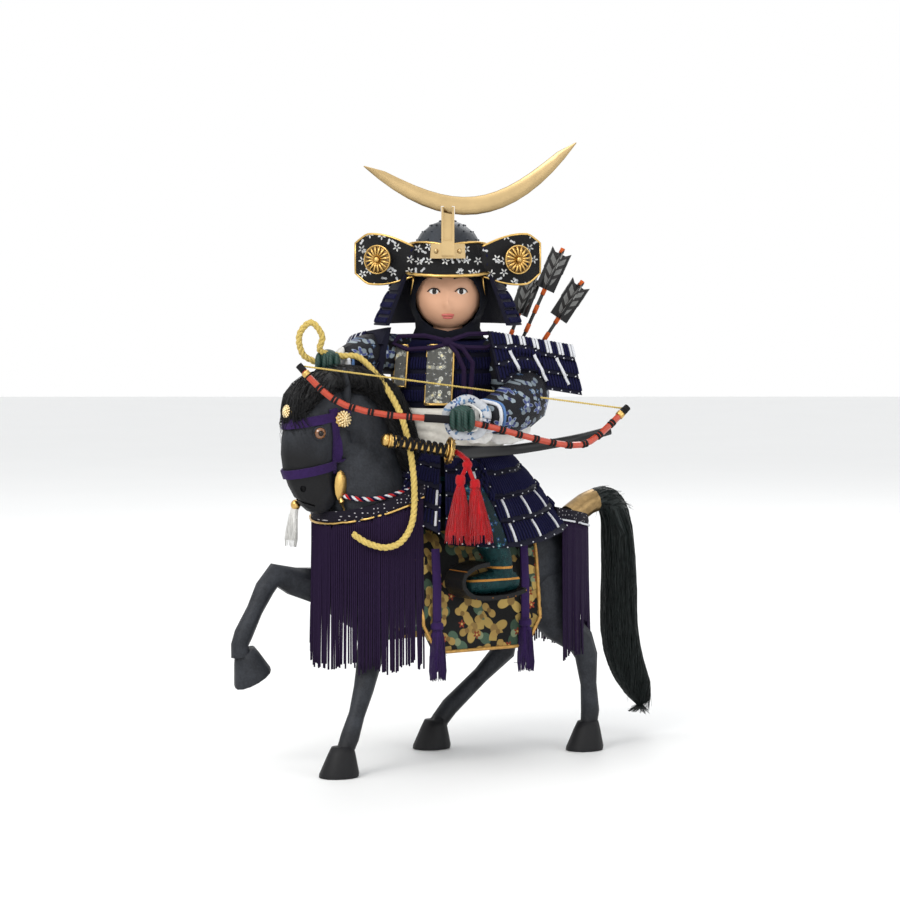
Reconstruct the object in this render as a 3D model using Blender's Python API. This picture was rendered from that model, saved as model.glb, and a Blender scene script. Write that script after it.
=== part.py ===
import math

import bmesh
import bpy
from mathutils import Matrix, Vector
from mathutils.bvhtree import BVHTree

# A mounted warrior figure: a horse in festival tack with an armoured rider.
# Sizes are in metres and the floor is z = 0. The rider faces -Y and the horse
# heads to -X, turned towards -Y by HEADING.

# Fits
CLEARANCE = 0.0003
PLUG_DEPTH = 0.012
NUDGE = Vector((0.00002, -0.00003, 0.00001))

# Horse
HEADING = math.radians(35)
HORSE_X = -0.0175
HORSE_Y = -0.0110
CHEST_AHEAD = 0.075
RUMP_BEHIND = 0.125
TRUNK_WIDTH = 0.078
BACK_HEIGHT = 0.169
BELLY_HEIGHT = 0.092
NECK_AHEAD = 0.050
NECK_WIDTH = 0.036
NECK_DEPTH = 0.050
POLL_AHEAD = 0.070
POLL_HEIGHT = 0.262
HEAD_LENGTH = 0.086
HEAD_WIDTH = 0.034
HEAD_DEPTH = 0.042
HEAD_LEAN = math.radians(10)
EAR_LENGTH = 0.022
EYE_RADIUS = 0.0048
LEG_SPREAD = 0.034
CANNON_WIDTH = 0.0116
HOOF_LENGTH = 0.028
HOOF_WIDTH = 0.024
HOOF_HEIGHT = 0.020
RAISED_KNEE_HEIGHT = 0.131
TAIL_THICKNESS = 0.024
MANE_WIDTH = 0.034

# Tack
BAND_THICKNESS = 0.0014
STRAP_WIDTH = 0.0062
ROSETTE_RADIUS = 0.0058
REIN_DIAMETER = 0.0034
ROPE_DIAMETER = 0.0047
COLLAR_WIDTH = 0.009
FRINGE_THICKNESS = 0.0028
FRINGE_BOTTOM = 0.070
FRINGE_PLEAT = 0.0080
BREAST_CENTRE = 0.035
BREAST_REACH = 0.048
BREAST_HALF_WIDTH = 0.0435
CROUP_CENTRE = -0.083
CROUP_REACH = 0.050
CROUP_HALF_WIDTH = 0.0430
SADDLE_LENGTH = 0.084
SADDLE_WIDTH = 0.060
SADDLE_RISE = 0.016
SADDLE_AHEAD = -0.012
FLAP_LENGTH = 0.100
FLAP_AHEAD = -0.018
FLAP_BOTTOM = 0.078
FLAP_CORNER = 0.020
FLAP_THICKNESS = 0.0026
FLAP_ROOM = 0.0011
STIRRUP_LENGTH = 0.056
STIRRUP_WIDTH = 0.021
STIRRUP_HEIGHT = 0.026
STIRRUP_BOTTOM = 0.115
STIRRUP_OUT = 0.057
STIRRUP_AHEAD = -0.012
SOLE_THICKNESS = 0.003

# Rider
RIDER_X = -0.0052
RIDER_Y = -0.0022
SEAT_HEIGHT = 0.186
WAIST_HEIGHT = 0.216
SHOULDER_HEIGHT = 0.288
TORSO_WIDTH = 0.068
TORSO_DEPTH = 0.050
SASH_WIDTH = 0.080
SASH_HEIGHT = 0.030
HEAD_CENTRE_HEIGHT = 0.322
FACE_WIDTH = 0.047
FACE_HEIGHT = 0.050
FACE_DEPTH = 0.047
HOOD_THICKNESS = 0.005
BOWL_RADIUS = 0.0265
BOWL_HEIGHT = 0.031
BOWL_RIBS = 14
RIB_HEIGHT = 0.0009
BRIM_REACH = 0.011
BRIM_DROP = 0.022
PLATE_THICKNESS = 0.0016
GUARD_BOTTOM_RADIUS = 0.048
GUARD_DROP = 0.048
WING_LENGTH = 0.040
WING_HEIGHT = 0.032
WING_DISC_RADIUS = 0.0088
CREST_SPAN = 0.145
CREST_TILT = math.radians(6.3)
CREST_WIDTH = 0.0115
CREST_SAG = 0.0405
CREST_THICKNESS = 0.0022
CREST_BASE_HEIGHT = 0.378
SKIRT_TIERS = 4
SKIRT_DROP = 0.062
SKIRT_STEP = 0.0028
SHOULDER_GUARD_WIDTH = 0.060
SHOULDER_GUARD_HEIGHT = 0.036
SHOULDER_GUARD_TIERS = 3
SLEEVE_RADIUS = 0.017
WRIST_RADIUS = 0.0105
FIST_RADIUS = 0.0082
THIGH_RADIUS = 0.016
SHIN_RADIUS = 0.0105

# Weapons
BOW_DIAMETER = 0.0044
STRING_DIAMETER = 0.0014
SWORD_GRIP_DIAMETER = 0.0078
SWORD_GUARD_RADIUS = 0.0085
SCABBARD_DIAMETER = 0.0084
QUIVER_WIDTH = 0.024
QUIVER_DEPTH = 0.015
QUIVER_HEIGHT = 0.042
ARROW_DIAMETER = 0.0024
VANE_WIDTH = 0.014
VANE_LENGTH = 0.027

FINISHES = {
    "coat": ((0.035, 0.037, 0.042), 0.6, 0.0),
    "hair": ((0.008, 0.008, 0.010), 0.7, 0.0),
    "amber": ((0.35, 0.12, 0.03), 0.1, 0.0),
    "purple": ((0.035, 0.015, 0.075), 0.7, 0.0),
    "fringe": ((0.022, 0.012, 0.035), 0.8, 0.0),
    "gold": ((0.80, 0.58, 0.24), 0.3, 1.0),
    "rope": ((0.72, 0.55, 0.20), 0.45, 0.3),
    "braid": ((0.35, 0.06, 0.10), 0.7, 0.0),
    "white": ((0.75, 0.74, 0.72), 0.8, 0.0),
    "lacquer": ((0.008, 0.008, 0.009), 0.15, 0.0),
    "brocade": ((0.05, 0.045, 0.03), 0.6, 0.0),
    "lacing": ((0.012, 0.014, 0.050), 0.75, 0.0),
    "silk": ((0.02, 0.022, 0.03), 0.5, 0.0),
    "silver": ((0.42, 0.42, 0.38), 0.5, 0.2),
    "skin": ((0.75, 0.42, 0.27), 0.45, 0.0),
    "glove": ((0.015, 0.10, 0.08), 0.6, 0.0),
    "vermilion": ((0.62, 0.09, 0.02), 0.25, 0.0),
    "red": ((0.60, 0.02, 0.02), 0.7, 0.0),
}

PIECES = []


# Places

def ahead_of(ahead, left, up):
    east = -math.cos(HEADING) * ahead + math.sin(HEADING) * left
    north = -math.sin(HEADING) * ahead - math.cos(HEADING) * left
    return Vector((HORSE_X + east, HORSE_Y + north, up))


LEFTWARD = ahead_of(0, 1, 0) - ahead_of(0, 0, 0)
FORWARD = ahead_of(1, 0, 0) - ahead_of(0, 0, 0)
UP = Vector((0, 0, 1))
EAST = Vector((1, 0, 0))


def by_rider(east, north, up):
    return Vector((RIDER_X + east, RIDER_Y + north, up))


def round_rider(bearing, radius, up):
    turn = math.radians(bearing)
    return by_rider(math.sin(turn) * radius, -math.cos(turn) * radius, up)


# Smooth curve through rows of numbers

def smooth(rows, steps):
    rows = [tuple(row) for row in rows]
    if steps < 2:
        return rows
    made = []
    for i in range(len(rows) - 1):
        four = [rows[max(i - 1, 0)], rows[i], rows[i + 1], rows[min(i + 2, len(rows) - 1)]]
        for step in range(steps):
            t = step / steps
            made.append(tuple(blend(values, t) for values in zip(*four)))
    return made + [rows[-1]]


def blend(values, t):
    a, b, c, d = values
    return b + 0.5 * t * (c - a + t * (2 * a - 5 * b + 4 * c - d + t * (3 * (b - c) + d - a)))


# Solids

def solid(name, mesh_maker):
    bmesh.ops.recalc_face_normals(mesh_maker, faces=mesh_maker.faces)
    if mesh_maker.calc_volume(signed=True) < 0:
        bmesh.ops.reverse_faces(mesh_maker, faces=mesh_maker.faces)
    mesh = bpy.data.meshes.new(name)
    mesh_maker.to_mesh(mesh)
    mesh_maker.free()
    made = bpy.data.objects.new(name, mesh)
    bpy.context.collection.objects.link(made)
    return made


def loft(name, rows, side, sides=10, steps=2):
    rows = smooth(rows, steps)
    maker = bmesh.new()
    rings = []
    for i, row in enumerate(rows):
        before = Vector(rows[max(i - 1, 0)][:3])
        after = Vector(rows[min(i + 1, len(rows) - 1)][:3])
        along = (after - before).normalized()
        across = (side - along * side.dot(along)).normalized()
        deep = along.cross(across)
        ring = []
        for k in range(sides):
            turn = math.tau * (k + 0.5) / sides
            reach = across * row[3] * math.cos(turn) + deep * row[4] * math.sin(turn)
            ring.append(maker.verts.new(Vector(row[:3]) + reach))
        rings.append(ring)
    for one, two in zip(rings, rings[1:]):
        for k in range(sides):
            maker.faces.new((one[k], one[k - 1], two[k - 1], two[k]))
    maker.faces.new(rings[0])
    maker.faces.new(rings[-1])
    return solid(name, maker)


def shell(name, front, back):
    maker = bmesh.new()
    grids = [[[maker.verts.new(p) for p in row] for row in grid] for grid in (front, back)]
    rows, columns = len(front), len(front[0])
    for grid in grids:
        for i in range(rows - 1):
            for j in range(columns - 1):
                maker.faces.new((grid[i][j], grid[i][j + 1], grid[i + 1][j + 1], grid[i + 1][j]))
    one, two = grids
    for i in range(rows - 1):
        for j in (0, columns - 1):
            maker.faces.new((one[i][j], one[i + 1][j], two[i + 1][j], two[i][j]))
    for j in range(columns - 1):
        for i in (0, rows - 1):
            maker.faces.new((one[i][j], one[i][j + 1], two[i][j + 1], two[i][j]))
    return solid(name, maker)


def ball(name, centre, halves, turn=None, segments=14, rings=9):
    maker = bmesh.new()
    bmesh.ops.create_uvsphere(maker, u_segments=segments, v_segments=rings, radius=1)
    place = Matrix.Translation(centre) @ (turn or Matrix()) @ Matrix.Diagonal((*halves, 1))
    bmesh.ops.transform(maker, matrix=place, verts=maker.verts)
    return solid(name, maker)


def block(name, centre, halves, turn=None, bevel=0):
    maker = bmesh.new()
    bmesh.ops.create_cube(maker, size=2)
    place = Matrix.Translation(centre) @ (turn or Matrix()) @ Matrix.Diagonal((*halves, 1))
    bmesh.ops.transform(maker, matrix=place, verts=maker.verts)
    if bevel:
        bmesh.ops.bevel(maker, geom=maker.edges, offset=bevel, segments=1, affect="EDGES")
    return solid(name, maker)


# A cord: a round tube along a smooth curve through the route
def cord(name, route, diameter, steps=2, roundness=2):
    points = smooth(route, steps)
    data = bpy.data.curves.new(name, "CURVE")
    data.dimensions = "3D"
    data.bevel_depth = diameter / 2
    data.bevel_resolution = roundness
    data.use_fill_caps = True
    line = data.splines.new("POLY")
    line.points.add(len(points) - 1)
    for point, place in zip(line.points, points):
        point.co = (*place[:3], 1)
    made = bpy.data.objects.new(name, data)
    bpy.context.collection.objects.link(made)
    return as_mesh(made)


def as_mesh(made):
    bpy.context.view_layer.update()
    graph = bpy.context.evaluated_depsgraph_get()
    mesh = bpy.data.meshes.new_from_object(made.evaluated_get(graph))
    name = made.name
    bpy.data.objects.remove(made)
    maker = bmesh.new()
    maker.from_mesh(mesh)
    bmesh.ops.remove_doubles(maker, verts=maker.verts, dist=1e-6)
    bpy.data.meshes.remove(mesh)
    return solid(name, maker)


# A Boolean that fails leaves too little or too much, and is made again with the other solid nudged
def combine(first, other, operation="UNION", crossing=False):
    whole = first.data
    before, added = volume_of(whole), volume_of(other.data)
    least, most = 0.02 * before, 1.001 * before
    if operation == "UNION":
        least, most = 0.999 * max(before, added), 1.001 * (before + added)
    first_sound = None
    for attempt in range(6):
        other.location = NUDGE * attempt
        first.data = boolean_of(first, other, operation, crossing or attempt > 3)
        sound = least < volume_of(first.data) < most
        if sound and closed(first.data):
            break
        if sound and not first_sound:
            first_sound = first.data
        first.data = whole
    if first.data == whole and first_sound:
        first.data = first_sound
    bpy.data.objects.remove(other)
    return first


def boolean_of(first, other, operation, crossing):
    modifier = first.modifiers.new(operation, "BOOLEAN")
    modifier.operation = operation
    modifier.solver = "EXACT"
    modifier.use_self = crossing
    modifier.object = other
    bpy.context.view_layer.update()
    graph = bpy.context.evaluated_depsgraph_get()
    made = bpy.data.meshes.new_from_object(first.evaluated_get(graph))
    first.modifiers.clear()
    return made


def closed(mesh):
    maker = bmesh.new()
    maker.from_mesh(mesh)
    shut = all(len(edge.link_faces) == 2 for edge in maker.edges)
    maker.free()
    return shut


def volume_of(mesh):
    maker = bmesh.new()
    maker.from_mesh(mesh)
    volume = maker.calc_volume(signed=True)
    maker.free()
    return volume


def join_all(first, *others):
    for other in others:
        combine(first, other)
    return first


def finish(made, look, keep_flat=False):
    colour, roughness, metallic = FINISHES[look]
    material = bpy.data.materials.new(made.name)
    material.use_nodes = True
    shader = material.node_tree.nodes["Principled BSDF"]
    shader.inputs["Base Color"].default_value = (*colour, 1)
    shader.inputs["Roughness"].default_value = roughness
    shader.inputs["Metallic"].default_value = metallic
    made.data.materials.clear()
    made.data.materials.append(material)
    for face in made.data.polygons:
        face.use_smooth = not keep_flat
    PIECES.append(made)
    return made


# Fits: a later piece gives way to each earlier one, with a clearance

def grown(piece, gap):
    maker = bmesh.new()
    maker.from_mesh(piece.data)
    bmesh.ops.remove_doubles(maker, verts=maker.verts, dist=CLEARANCE)
    bmesh.ops.triangulate(maker, faces=maker.faces)
    maker.normal_update()
    moves = [v.normal * gap * min(v.calc_shell_factor(), 2.5) for v in maker.verts]
    for vertex, move in zip(maker.verts, moves):
        vertex.co += move
    return solid("cutter", maker)


def tree_of(piece):
    maker = bmesh.new()
    maker.from_mesh(piece.data)
    tree = BVHTree.FromBMesh(maker)
    maker.free()
    return tree


def box_of(piece):
    points = [v.co for v in piece.data.vertices]
    low = [min(p[i] for p in points) - 2 * CLEARANCE for i in range(3)]
    high = [max(p[i] for p in points) + 2 * CLEARANCE for i in range(3)]
    return low, high


def apart(one, two):
    return any(one[1][i] < two[0][i] or two[1][i] < one[0][i] for i in range(3))


def inside(piece, other):
    tree = tree_of(other)
    point = piece.data.vertices[0].co
    hit, normal, _, _ = tree.find_nearest(point)
    return (point - hit).dot(normal) < 0


def settle(pieces):
    boxes = {}
    for i, piece in enumerate(pieces):
        changed = False
        box = box_of(piece)
        for other in pieces[:i]:
            if apart(box, boxes[other.name]):
                continue
            changed = make_room(piece, other) or changed
        if changed:
            keep_largest(piece)
        boxes[piece.name] = box_of(piece)


def make_room(piece, other):
    cutter = grown(other, CLEARANCE)
    if not (tree_of(piece).overlap(tree_of(cutter)) or inside(cutter, piece)):
        bpy.data.objects.remove(cutter)
        return False
    combine(piece, cutter, "DIFFERENCE")
    for room in (1.5 * CLEARANCE, 2.2 * CLEARANCE, 3 * CLEARANCE):
        if tree_of(piece).overlap(tree_of(other)):
            combine(piece, grown(other, room), "DIFFERENCE")
    return True


# The largest body, walking from face to face over edges that two faces share
def keep_largest(piece):
    maker = bmesh.new()
    maker.from_mesh(piece.data)
    maker.faces.ensure_lookup_table()
    group_of = [None] * len(maker.faces)
    groups = []
    for first in maker.faces:
        if group_of[first.index] is not None:
            continue
        group, stack = [], [first]
        group_of[first.index] = len(groups)
        while stack:
            face = stack.pop()
            group.append(face)
            for edge in face.edges:
                for other in edge.link_faces if len(edge.link_faces) == 2 else ():
                    if group_of[other.index] is None:
                        group_of[other.index] = len(groups)
                        stack.append(other)
        groups.append(group)
    groups.sort(key=spread_of, reverse=True)
    spare = [face for group in groups[1:] for face in group]
    bmesh.ops.delete(maker, geom=spare, context="FACES")
    bmesh.ops.delete(maker, geom=[v for v in maker.verts if not v.link_faces], context="VERTS")
    maker.to_mesh(piece.data)
    maker.free()


def spread_of(group):
    places = [v.co for face in group for v in face.verts]
    sides = [max(p[i] for p in places) - min(p[i] for p in places) for i in range(3)]
    return sum(side * side for side in sides)


# Horse

# Share of the trunk's length, fall below the back, rise above the belly, share of the width
TRUNK_LINES = (
    (0.00, 0.012, 0.052, 0.28),
    (0.03, -0.002, 0.030, 0.62),
    (0.12, -0.006, 0.008, 0.90),
    (0.28, -0.006, 0.003, 1.00),
    (0.48, 0.000, 0.000, 0.97),
    (0.68, 0.001, 0.000, 0.95),
    (0.86, -0.005, 0.000, 0.97),
    (0.95, 0.001, 0.008, 0.84),
    (1.00, 0.016, 0.026, 0.50),
)


def trunk_rows():
    rows = []
    for share, fall, rise, width in TRUNK_LINES:
        ahead = -RUMP_BEHIND + share * (RUMP_BEHIND + CHEST_AHEAD)
        top, bottom = BACK_HEIGHT - fall, BELLY_HEIGHT + rise
        rows.append((ahead, (top + bottom) / 2, width * TRUNK_WIDTH / 2, (top - bottom) / 2))
    return rows


# Mid height, half width and half height of the trunk at a place along it
def trunk_at(ahead):
    rows = smooth(trunk_rows(), 4)
    ahead = min(max(ahead, rows[0][0]), rows[-1][0])
    for one, two in zip(rows, rows[1:]):
        if ahead <= two[0]:
            t = (ahead - one[0]) / (two[0] - one[0])
            return [a + t * (b - a) for a, b in zip(one[1:], two[1:])]
    return list(rows[-1][1:])


def in_plane(rows):
    return [(*ahead_of(ahead, left, up), half, deep) for ahead, left, up, half, deep in rows]


def head_place(share, forward, left=0):
    along = share * HEAD_LENGTH
    ahead = POLL_AHEAD + along * math.sin(HEAD_LEAN) + forward * math.cos(HEAD_LEAN)
    up = POLL_HEIGHT - along * math.cos(HEAD_LEAN) + forward * math.sin(HEAD_LEAN)
    return ahead_of(ahead, left, up)


# Share of the head's length, set forward, share of its width and of its depth
HEAD_LINES = (
    (0.03, -0.002, 0.58, 0.56),
    (0.14, 0.004, 0.86, 0.86),
    (0.30, 0.012, 1.00, 0.98),
    (0.50, 0.015, 0.92, 1.02),
    (0.68, 0.013, 0.74, 0.94),
    (0.84, 0.006, 0.70, 0.78),
    (0.95, -0.001, 0.64, 0.56),
    (1.00, -0.004, 0.36, 0.32),
)


def head_loft(name, grow=0):
    rows = []
    for share, forward, width, depth in HEAD_LINES:
        half, deep = width * HEAD_WIDTH / 2 + grow, depth * HEAD_DEPTH / 2 + grow
        rows.append((*head_place(share, forward), half, deep))
    return loft(name, rows, LEFTWARD, 12)


# The head with its jowls, grown outwards for what is strapped round it
def head_form(name, grow=0):
    made = head_loft(name, grow)
    for side in (1, -1):
        cheek = head_place(0.46, -0.002, side * HEAD_WIDTH * 0.16)
        halves = (0.0115 + grow, 0.0105 + grow, 0.0135 + grow)
        combine(made, ball("cheek", cheek, halves, segments=10, rings=6))
    return made


def head_at(share):
    rows = smooth(HEAD_LINES, 4)
    near = min(rows, key=lambda row: abs(row[0] - share))
    return near[1], near[2] * HEAD_WIDTH / 2, near[3] * HEAD_DEPTH / 2


def horse_neck():
    half, deep = NECK_WIDTH / 2, NECK_DEPTH / 2
    low, high = BACK_HEIGHT - 0.026, POLL_HEIGHT - 0.004
    rows = []
    lines = ((0, -0.012, 1.85, 1.42), (0.22, -0.007, 1.7, 1.34), (0.44, -0.001, 1.38, 1.18))
    lines += ((0.68, 0.002, 1.08, 1.0), (0.86, 0.007, 0.88, 0.84), (1, 0.015, 0.66, 0.62))
    for share, shift, width, depth in lines:
        up = low + share * (high - low)
        rows.append((NECK_AHEAD + shift, 0, up, width * half, depth * deep))
    return loft("neck", in_plane(rows), LEFTWARD, 12)


def horse_ear(side):
    base = head_place(0.13, -0.001, side * HEAD_WIDTH * 0.34)
    tip = base + UP * EAR_LENGTH + FORWARD * 0.004 + LEFTWARD * side * 0.004
    rows = []
    for share, half, deep in ((-0.2, 0.0036, 0.003), (0.3, 0.0052, 0.0034), (0.7, 0.0040, 0.0026), (1, 0.0010, 0.0010)):
        rows.append((*base.lerp(tip, share), half, deep))
    return loft("ear", rows, LEFTWARD, 6)


def horse_body():
    rows = [(ahead, 0, up, half, deep) for ahead, up, half, deep in trunk_rows()]
    body = loft("horse_body", in_plane(rows), LEFTWARD, 14)
    join_all(body, horse_neck(), head_form("horse_head"))
    for side in (1, -1):
        combine(body, horse_ear(side))
        nostril = head_place(0.86, 0.0195, side * HEAD_WIDTH * 0.20)
        combine(body, ball("nostril", nostril, (0.0024, 0.0024, 0.0030), segments=8, rings=6), "DIFFERENCE")
    mouth = head_place(0.955, 0.010)
    turn = Matrix.Rotation(-HEADING, 4, "Z") @ Matrix.Rotation(HEAD_LEAN * 2, 4, "Y")
    combine(body, block("mouth", mouth, (0.008, 0.020, 0.0006), turn), "DIFFERENCE")
    finish(body, "coat")


def horse_eye(name, side):
    forward, half, _ = head_at(0.42)
    centre = head_place(0.42, forward + 0.004, side * (half - EYE_RADIUS * 0.45))
    finish(ball(name, centre, (EYE_RADIUS,) * 3, segments=12, rings=6), "amber")


def hoof(name, toe, lean=0):
    rows = []
    for share, size in ((0, 1.0), (0.12, 1.0), (0.75, 0.70), (1, 0.56)):
        back = -0.003 * share
        rows.append((back, share * HOOF_HEIGHT, size))
    maker = bmesh.new()
    rings = []
    for back, up, size in rows:
        ring = []
        for k in range(14):
            turn = math.tau * k / 14
            ahead = back + size * HOOF_LENGTH / 2 * math.cos(turn)
            left = size * HOOF_WIDTH / 2 * math.sin(turn)
            place = FORWARD * ahead + LEFTWARD * left + UP * up
            if lean:
                place = Matrix.Rotation(lean, 3, LEFTWARD) @ place
            ring.append(maker.verts.new(toe + place))
        rings.append(ring)
    for one, two in zip(rings, rings[1:]):
        for k in range(14):
            maker.faces.new((one[k], one[k - 1], two[k - 1], two[k]))
    maker.faces.new(rings[0])
    maker.faces.new(rings[-1])
    return solid(name, maker)


def leg(name, rows, sole, lean=0):
    cannon = CANNON_WIDTH / 2
    rows = [(a, l, u, w * cannon, d * cannon) for a, l, u, w, d in rows]
    made = loft(name, in_plane(rows), LEFTWARD, 8, 1)
    combine(made, hoof("hoof", ahead_of(*sole), lean))
    finish(made, "coat")


def horse_legs():
    side = LEG_SPREAD
    inner = BELLY_HEIGHT + PLUG_DEPTH
    knee = RAISED_KNEE_HEIGHT
    leg("horse_foreleg_left", (
        (0.050, side * 0.50, inner + 0.018, 2.1, 2.8), (0.053, side * 0.54, inner, 1.9, 2.4),
        (0.056, side * 0.60, inner - 0.020, 1.5, 1.8), (0.063, side * 0.72, 0.066, 1.25, 1.40),
        (0.067, side * 0.78, 0.056, 1.1, 1.25), (0.075, side * 0.89, 0.040, 0.88, 1.0),
        (0.083, side, 0.026, 1.02, 1.15), (0.086, side, 0.019, 1.0, 1.05), (0.089, side, 0.012, 1.2, 1.3),
    ), (0.092, side, 0))
    leg("horse_foreleg_right", (
        (0.052, -side * 0.62, inner + 0.030, 2.1, 2.8), (0.070, -side * 0.76, knee - 0.010, 2.0, 2.5),
        (0.088, -side * 0.84, knee - 0.005, 1.5, 1.75), (0.102, -side * 0.88, knee, 1.25, 1.45),
        (0.110, -side * 0.88, knee - 0.009, 1.1, 1.2), (0.118, -side * 0.88, knee - 0.023, 0.9, 1.0),
        (0.127, -side * 0.88, knee - 0.039, 1.02, 1.15), (0.130, -side * 0.88, knee - 0.046, 1.0, 1.05),
        (0.129, -side * 0.88, knee - 0.054, 1.1, 1.2),
    ), (0.1195, -side * 0.88, knee - 0.070), math.radians(28))
    leg("horse_hindleg_right", (
        (-0.088, -side * 0.62, inner + 0.024, 2.8, 4.2), (-0.082, -side * 0.72, inner + 0.002, 2.5, 3.5),
        (-0.083, -side * 0.80, inner - 0.014, 1.9, 2.4), (-0.092, -side * 0.85, 0.074, 1.35, 1.8),
        (-0.092, -side * 0.87, 0.066, 1.15, 1.5), (-0.072, -side * 0.92, 0.049, 0.9, 1.05),
        (-0.046, -side * 0.98, 0.028, 1.0, 1.15), (-0.039, -side, 0.020, 1.0, 1.1), (-0.034, -side, 0.012, 1.2, 1.3),
    ), (-0.031, -side, 0))
    leg("horse_hindleg_left", (
        (-0.090, side * 0.62, inner + 0.024, 2.8, 4.2), (-0.086, side * 0.74, inner + 0.002, 2.5, 3.4),
        (-0.096, side * 0.84, inner - 0.014, 1.9, 2.4), (-0.114, side * 0.92, 0.076, 1.35, 1.8),
        (-0.118, side * 0.94, 0.066, 1.15, 1.5), (-0.119, side * 0.98, 0.046, 0.9, 1.05),
        (-0.120, side, 0.027, 1.02, 1.2), (-0.119, side, 0.019, 1.0, 1.1), (-0.117, side, 0.012, 1.2, 1.3),
    ), (-0.115, side, 0))


def horse_mane():
    half, poll, top = MANE_WIDTH / 2, POLL_AHEAD, POLL_HEIGHT
    rows = (
        (poll + 0.036, 0, top - 0.026, 0.45 * half, 0.0045), (poll + 0.031, 0, top - 0.012, 0.85 * half, 0.0075),
        (poll + 0.014, 0, top + 0.000, 1.0 * half, 0.0085), (poll - 0.012, 0.001, top + 0.001, 1.0 * half, 0.0100),
        (poll - 0.033, 0.003, top - 0.011, 0.95 * half, 0.0120), (poll - 0.043, 0.005, top - 0.034, 0.95 * half, 0.0120),
        (poll - 0.050, 0.006, top - 0.058, 0.90 * half, 0.0110), (poll - 0.056, 0.005, top - 0.080, 0.6 * half, 0.006),
    )
    finish(loft("horse_mane", in_plane(rows), LEFTWARD, 10), "hair")


# Distance beyond the rump, height above the back, share of the thickness
TAIL_LINES = (
    (-0.014, -0.013, 0.46), (0.003, -0.007, 0.46), (0.017, 0.001, 0.50), (0.031, 0.005, 0.64),
    (0.041, -0.003, 0.80), (0.045, -0.021, 0.88), (0.047, -0.054, 0.96), (0.047, -0.089, 1.02),
    (0.053, -0.114, 0.98), (0.064, -0.134, 0.74), (0.070, -0.145, 0.36),
)


def horse_tail():
    half = TAIL_THICKNESS / 2
    rows = [(-RUMP_BEHIND - b, 0, BACK_HEIGHT + u, s * half, s * half) for b, u, s in TAIL_LINES]
    finish(loft("horse_tail", in_plane(rows), LEFTWARD, 10), "hair")
    wrap = [(a, l, u, half * 0.72, half * 0.72) for a, l, u, _, _ in rows[1:4]]
    wrap[-1] = tuple(0.5 * (x + y) for x, y in zip(wrap[1], wrap[2]))
    finish(loft("tail_sleeve", in_plane(wrap), LEFTWARD, 10), "gold")


# Tack

def bridle():
    room = 1.5 * CLEARANCE
    made = head_form("bridle", room + BAND_THICKNESS)
    tilt = Matrix.Rotation(HEADING, 4, "Z") @ Matrix.Rotation(-HEAD_LEAN, 4, "Y")
    wide = HEAD_DEPTH
    brow = block("brow", head_place(0.285, 0.012), (wide, wide, STRAP_WIDTH / 2), tilt)
    nose = block("nose", head_place(0.70, 0.012), (wide, wide, STRAP_WIDTH / 2), tilt)
    cheek_top, cheek_low = head_place(0.20, 0.004), head_place(0.72, 0.004)
    middle = (cheek_top + cheek_low) / 2
    tall = (cheek_top - cheek_low).length / 2
    cheek = block("cheek", middle, (STRAP_WIDTH / 2, wide, tall), tilt)
    straps = join_all(brow, nose, cheek)
    combine(made, straps, "INTERSECT")
    combine(made, head_form("head_space", room), "DIFFERENCE")
    finish(made, "purple")


def rosette(name, centre, facing, radius=ROSETTE_RADIUS, petals=10):
    maker = bmesh.new()
    first = facing.orthogonal().normalized()
    second = facing.cross(first)
    rings = []
    for reach, out in ((1.0, -0.0012), (1.0, 0.0006), (0.62, 0.0018), (0.2, 0.0012)):
        ring = []
        for k in range(2 * petals):
            turn = math.pi * k / petals
            size = radius * reach * (1 if k % 2 or reach < 0.9 else 0.84)
            place = first * math.cos(turn) * size + second * math.sin(turn) * size
            ring.append(maker.verts.new(centre + place + facing * out))
        rings.append(ring)
    for one, two in zip(rings, rings[1:]):
        for k in range(2 * petals):
            maker.faces.new((one[k], one[k - 1], two[k - 1], two[k]))
    maker.faces.new(rings[0])
    maker.faces.new(rings[-1])
    return solid(name, maker)


def head_rosettes():
    forward, half, deep = head_at(0.285)
    out = BAND_THICKNESS + 0.0008
    front_facing = (head_place(0, 1) - head_place(0, 0)).normalized()
    front = head_place(0.285, forward + deep + out)
    finish(rosette("rosette_front", front, front_facing), "gold")
    for name, side in (("rosette_left", 1), ("rosette_right", -1)):
        facing = LEFTWARD * side
        centre = head_place(0.285, 0.004, side * (half * 0.93 + out))
        finish(rosette(name, centre, facing), "gold")


def bit(name, side):
    _, half, _ = head_at(0.78)
    centre = head_place(0.80, -0.0055, side * (half + 0.0012))
    turn = Matrix.Rotation(HEADING, 4, "Z")
    plate = ball(name, centre, (0.0052, 0.0015, 0.0105), turn, 10, 6)
    ring = centre - UP * 0.0085
    drop = ring - UP * 0.015 - FORWARD * 0.004 + LEFTWARD * side * 0.002
    rows = [(*ring.lerp(drop, t), r, r) for t, r in ((0, 0.0014), (0.15, 0.0024), (0.3, 0.0008), (0.78, 0.0008), (0.88, 0.0018), (1, 0.0008))]
    combine(plate, loft("pendant", rows, EAST, 8, 1))
    finish(plate, "gold")


def rein_points():
    return [ahead_of(*p) for p in (
        (0.0745, 0.0150, 0.1865), (0.0705, 0.0225, 0.1850), (0.0620, 0.0285, 0.1845),
        (0.0520, 0.0325, 0.1860), (0.0420, 0.0345, 0.1885), (0.0320, 0.0340, 0.1900), (0.0230, 0.0300, 0.1880),
    )]


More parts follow.
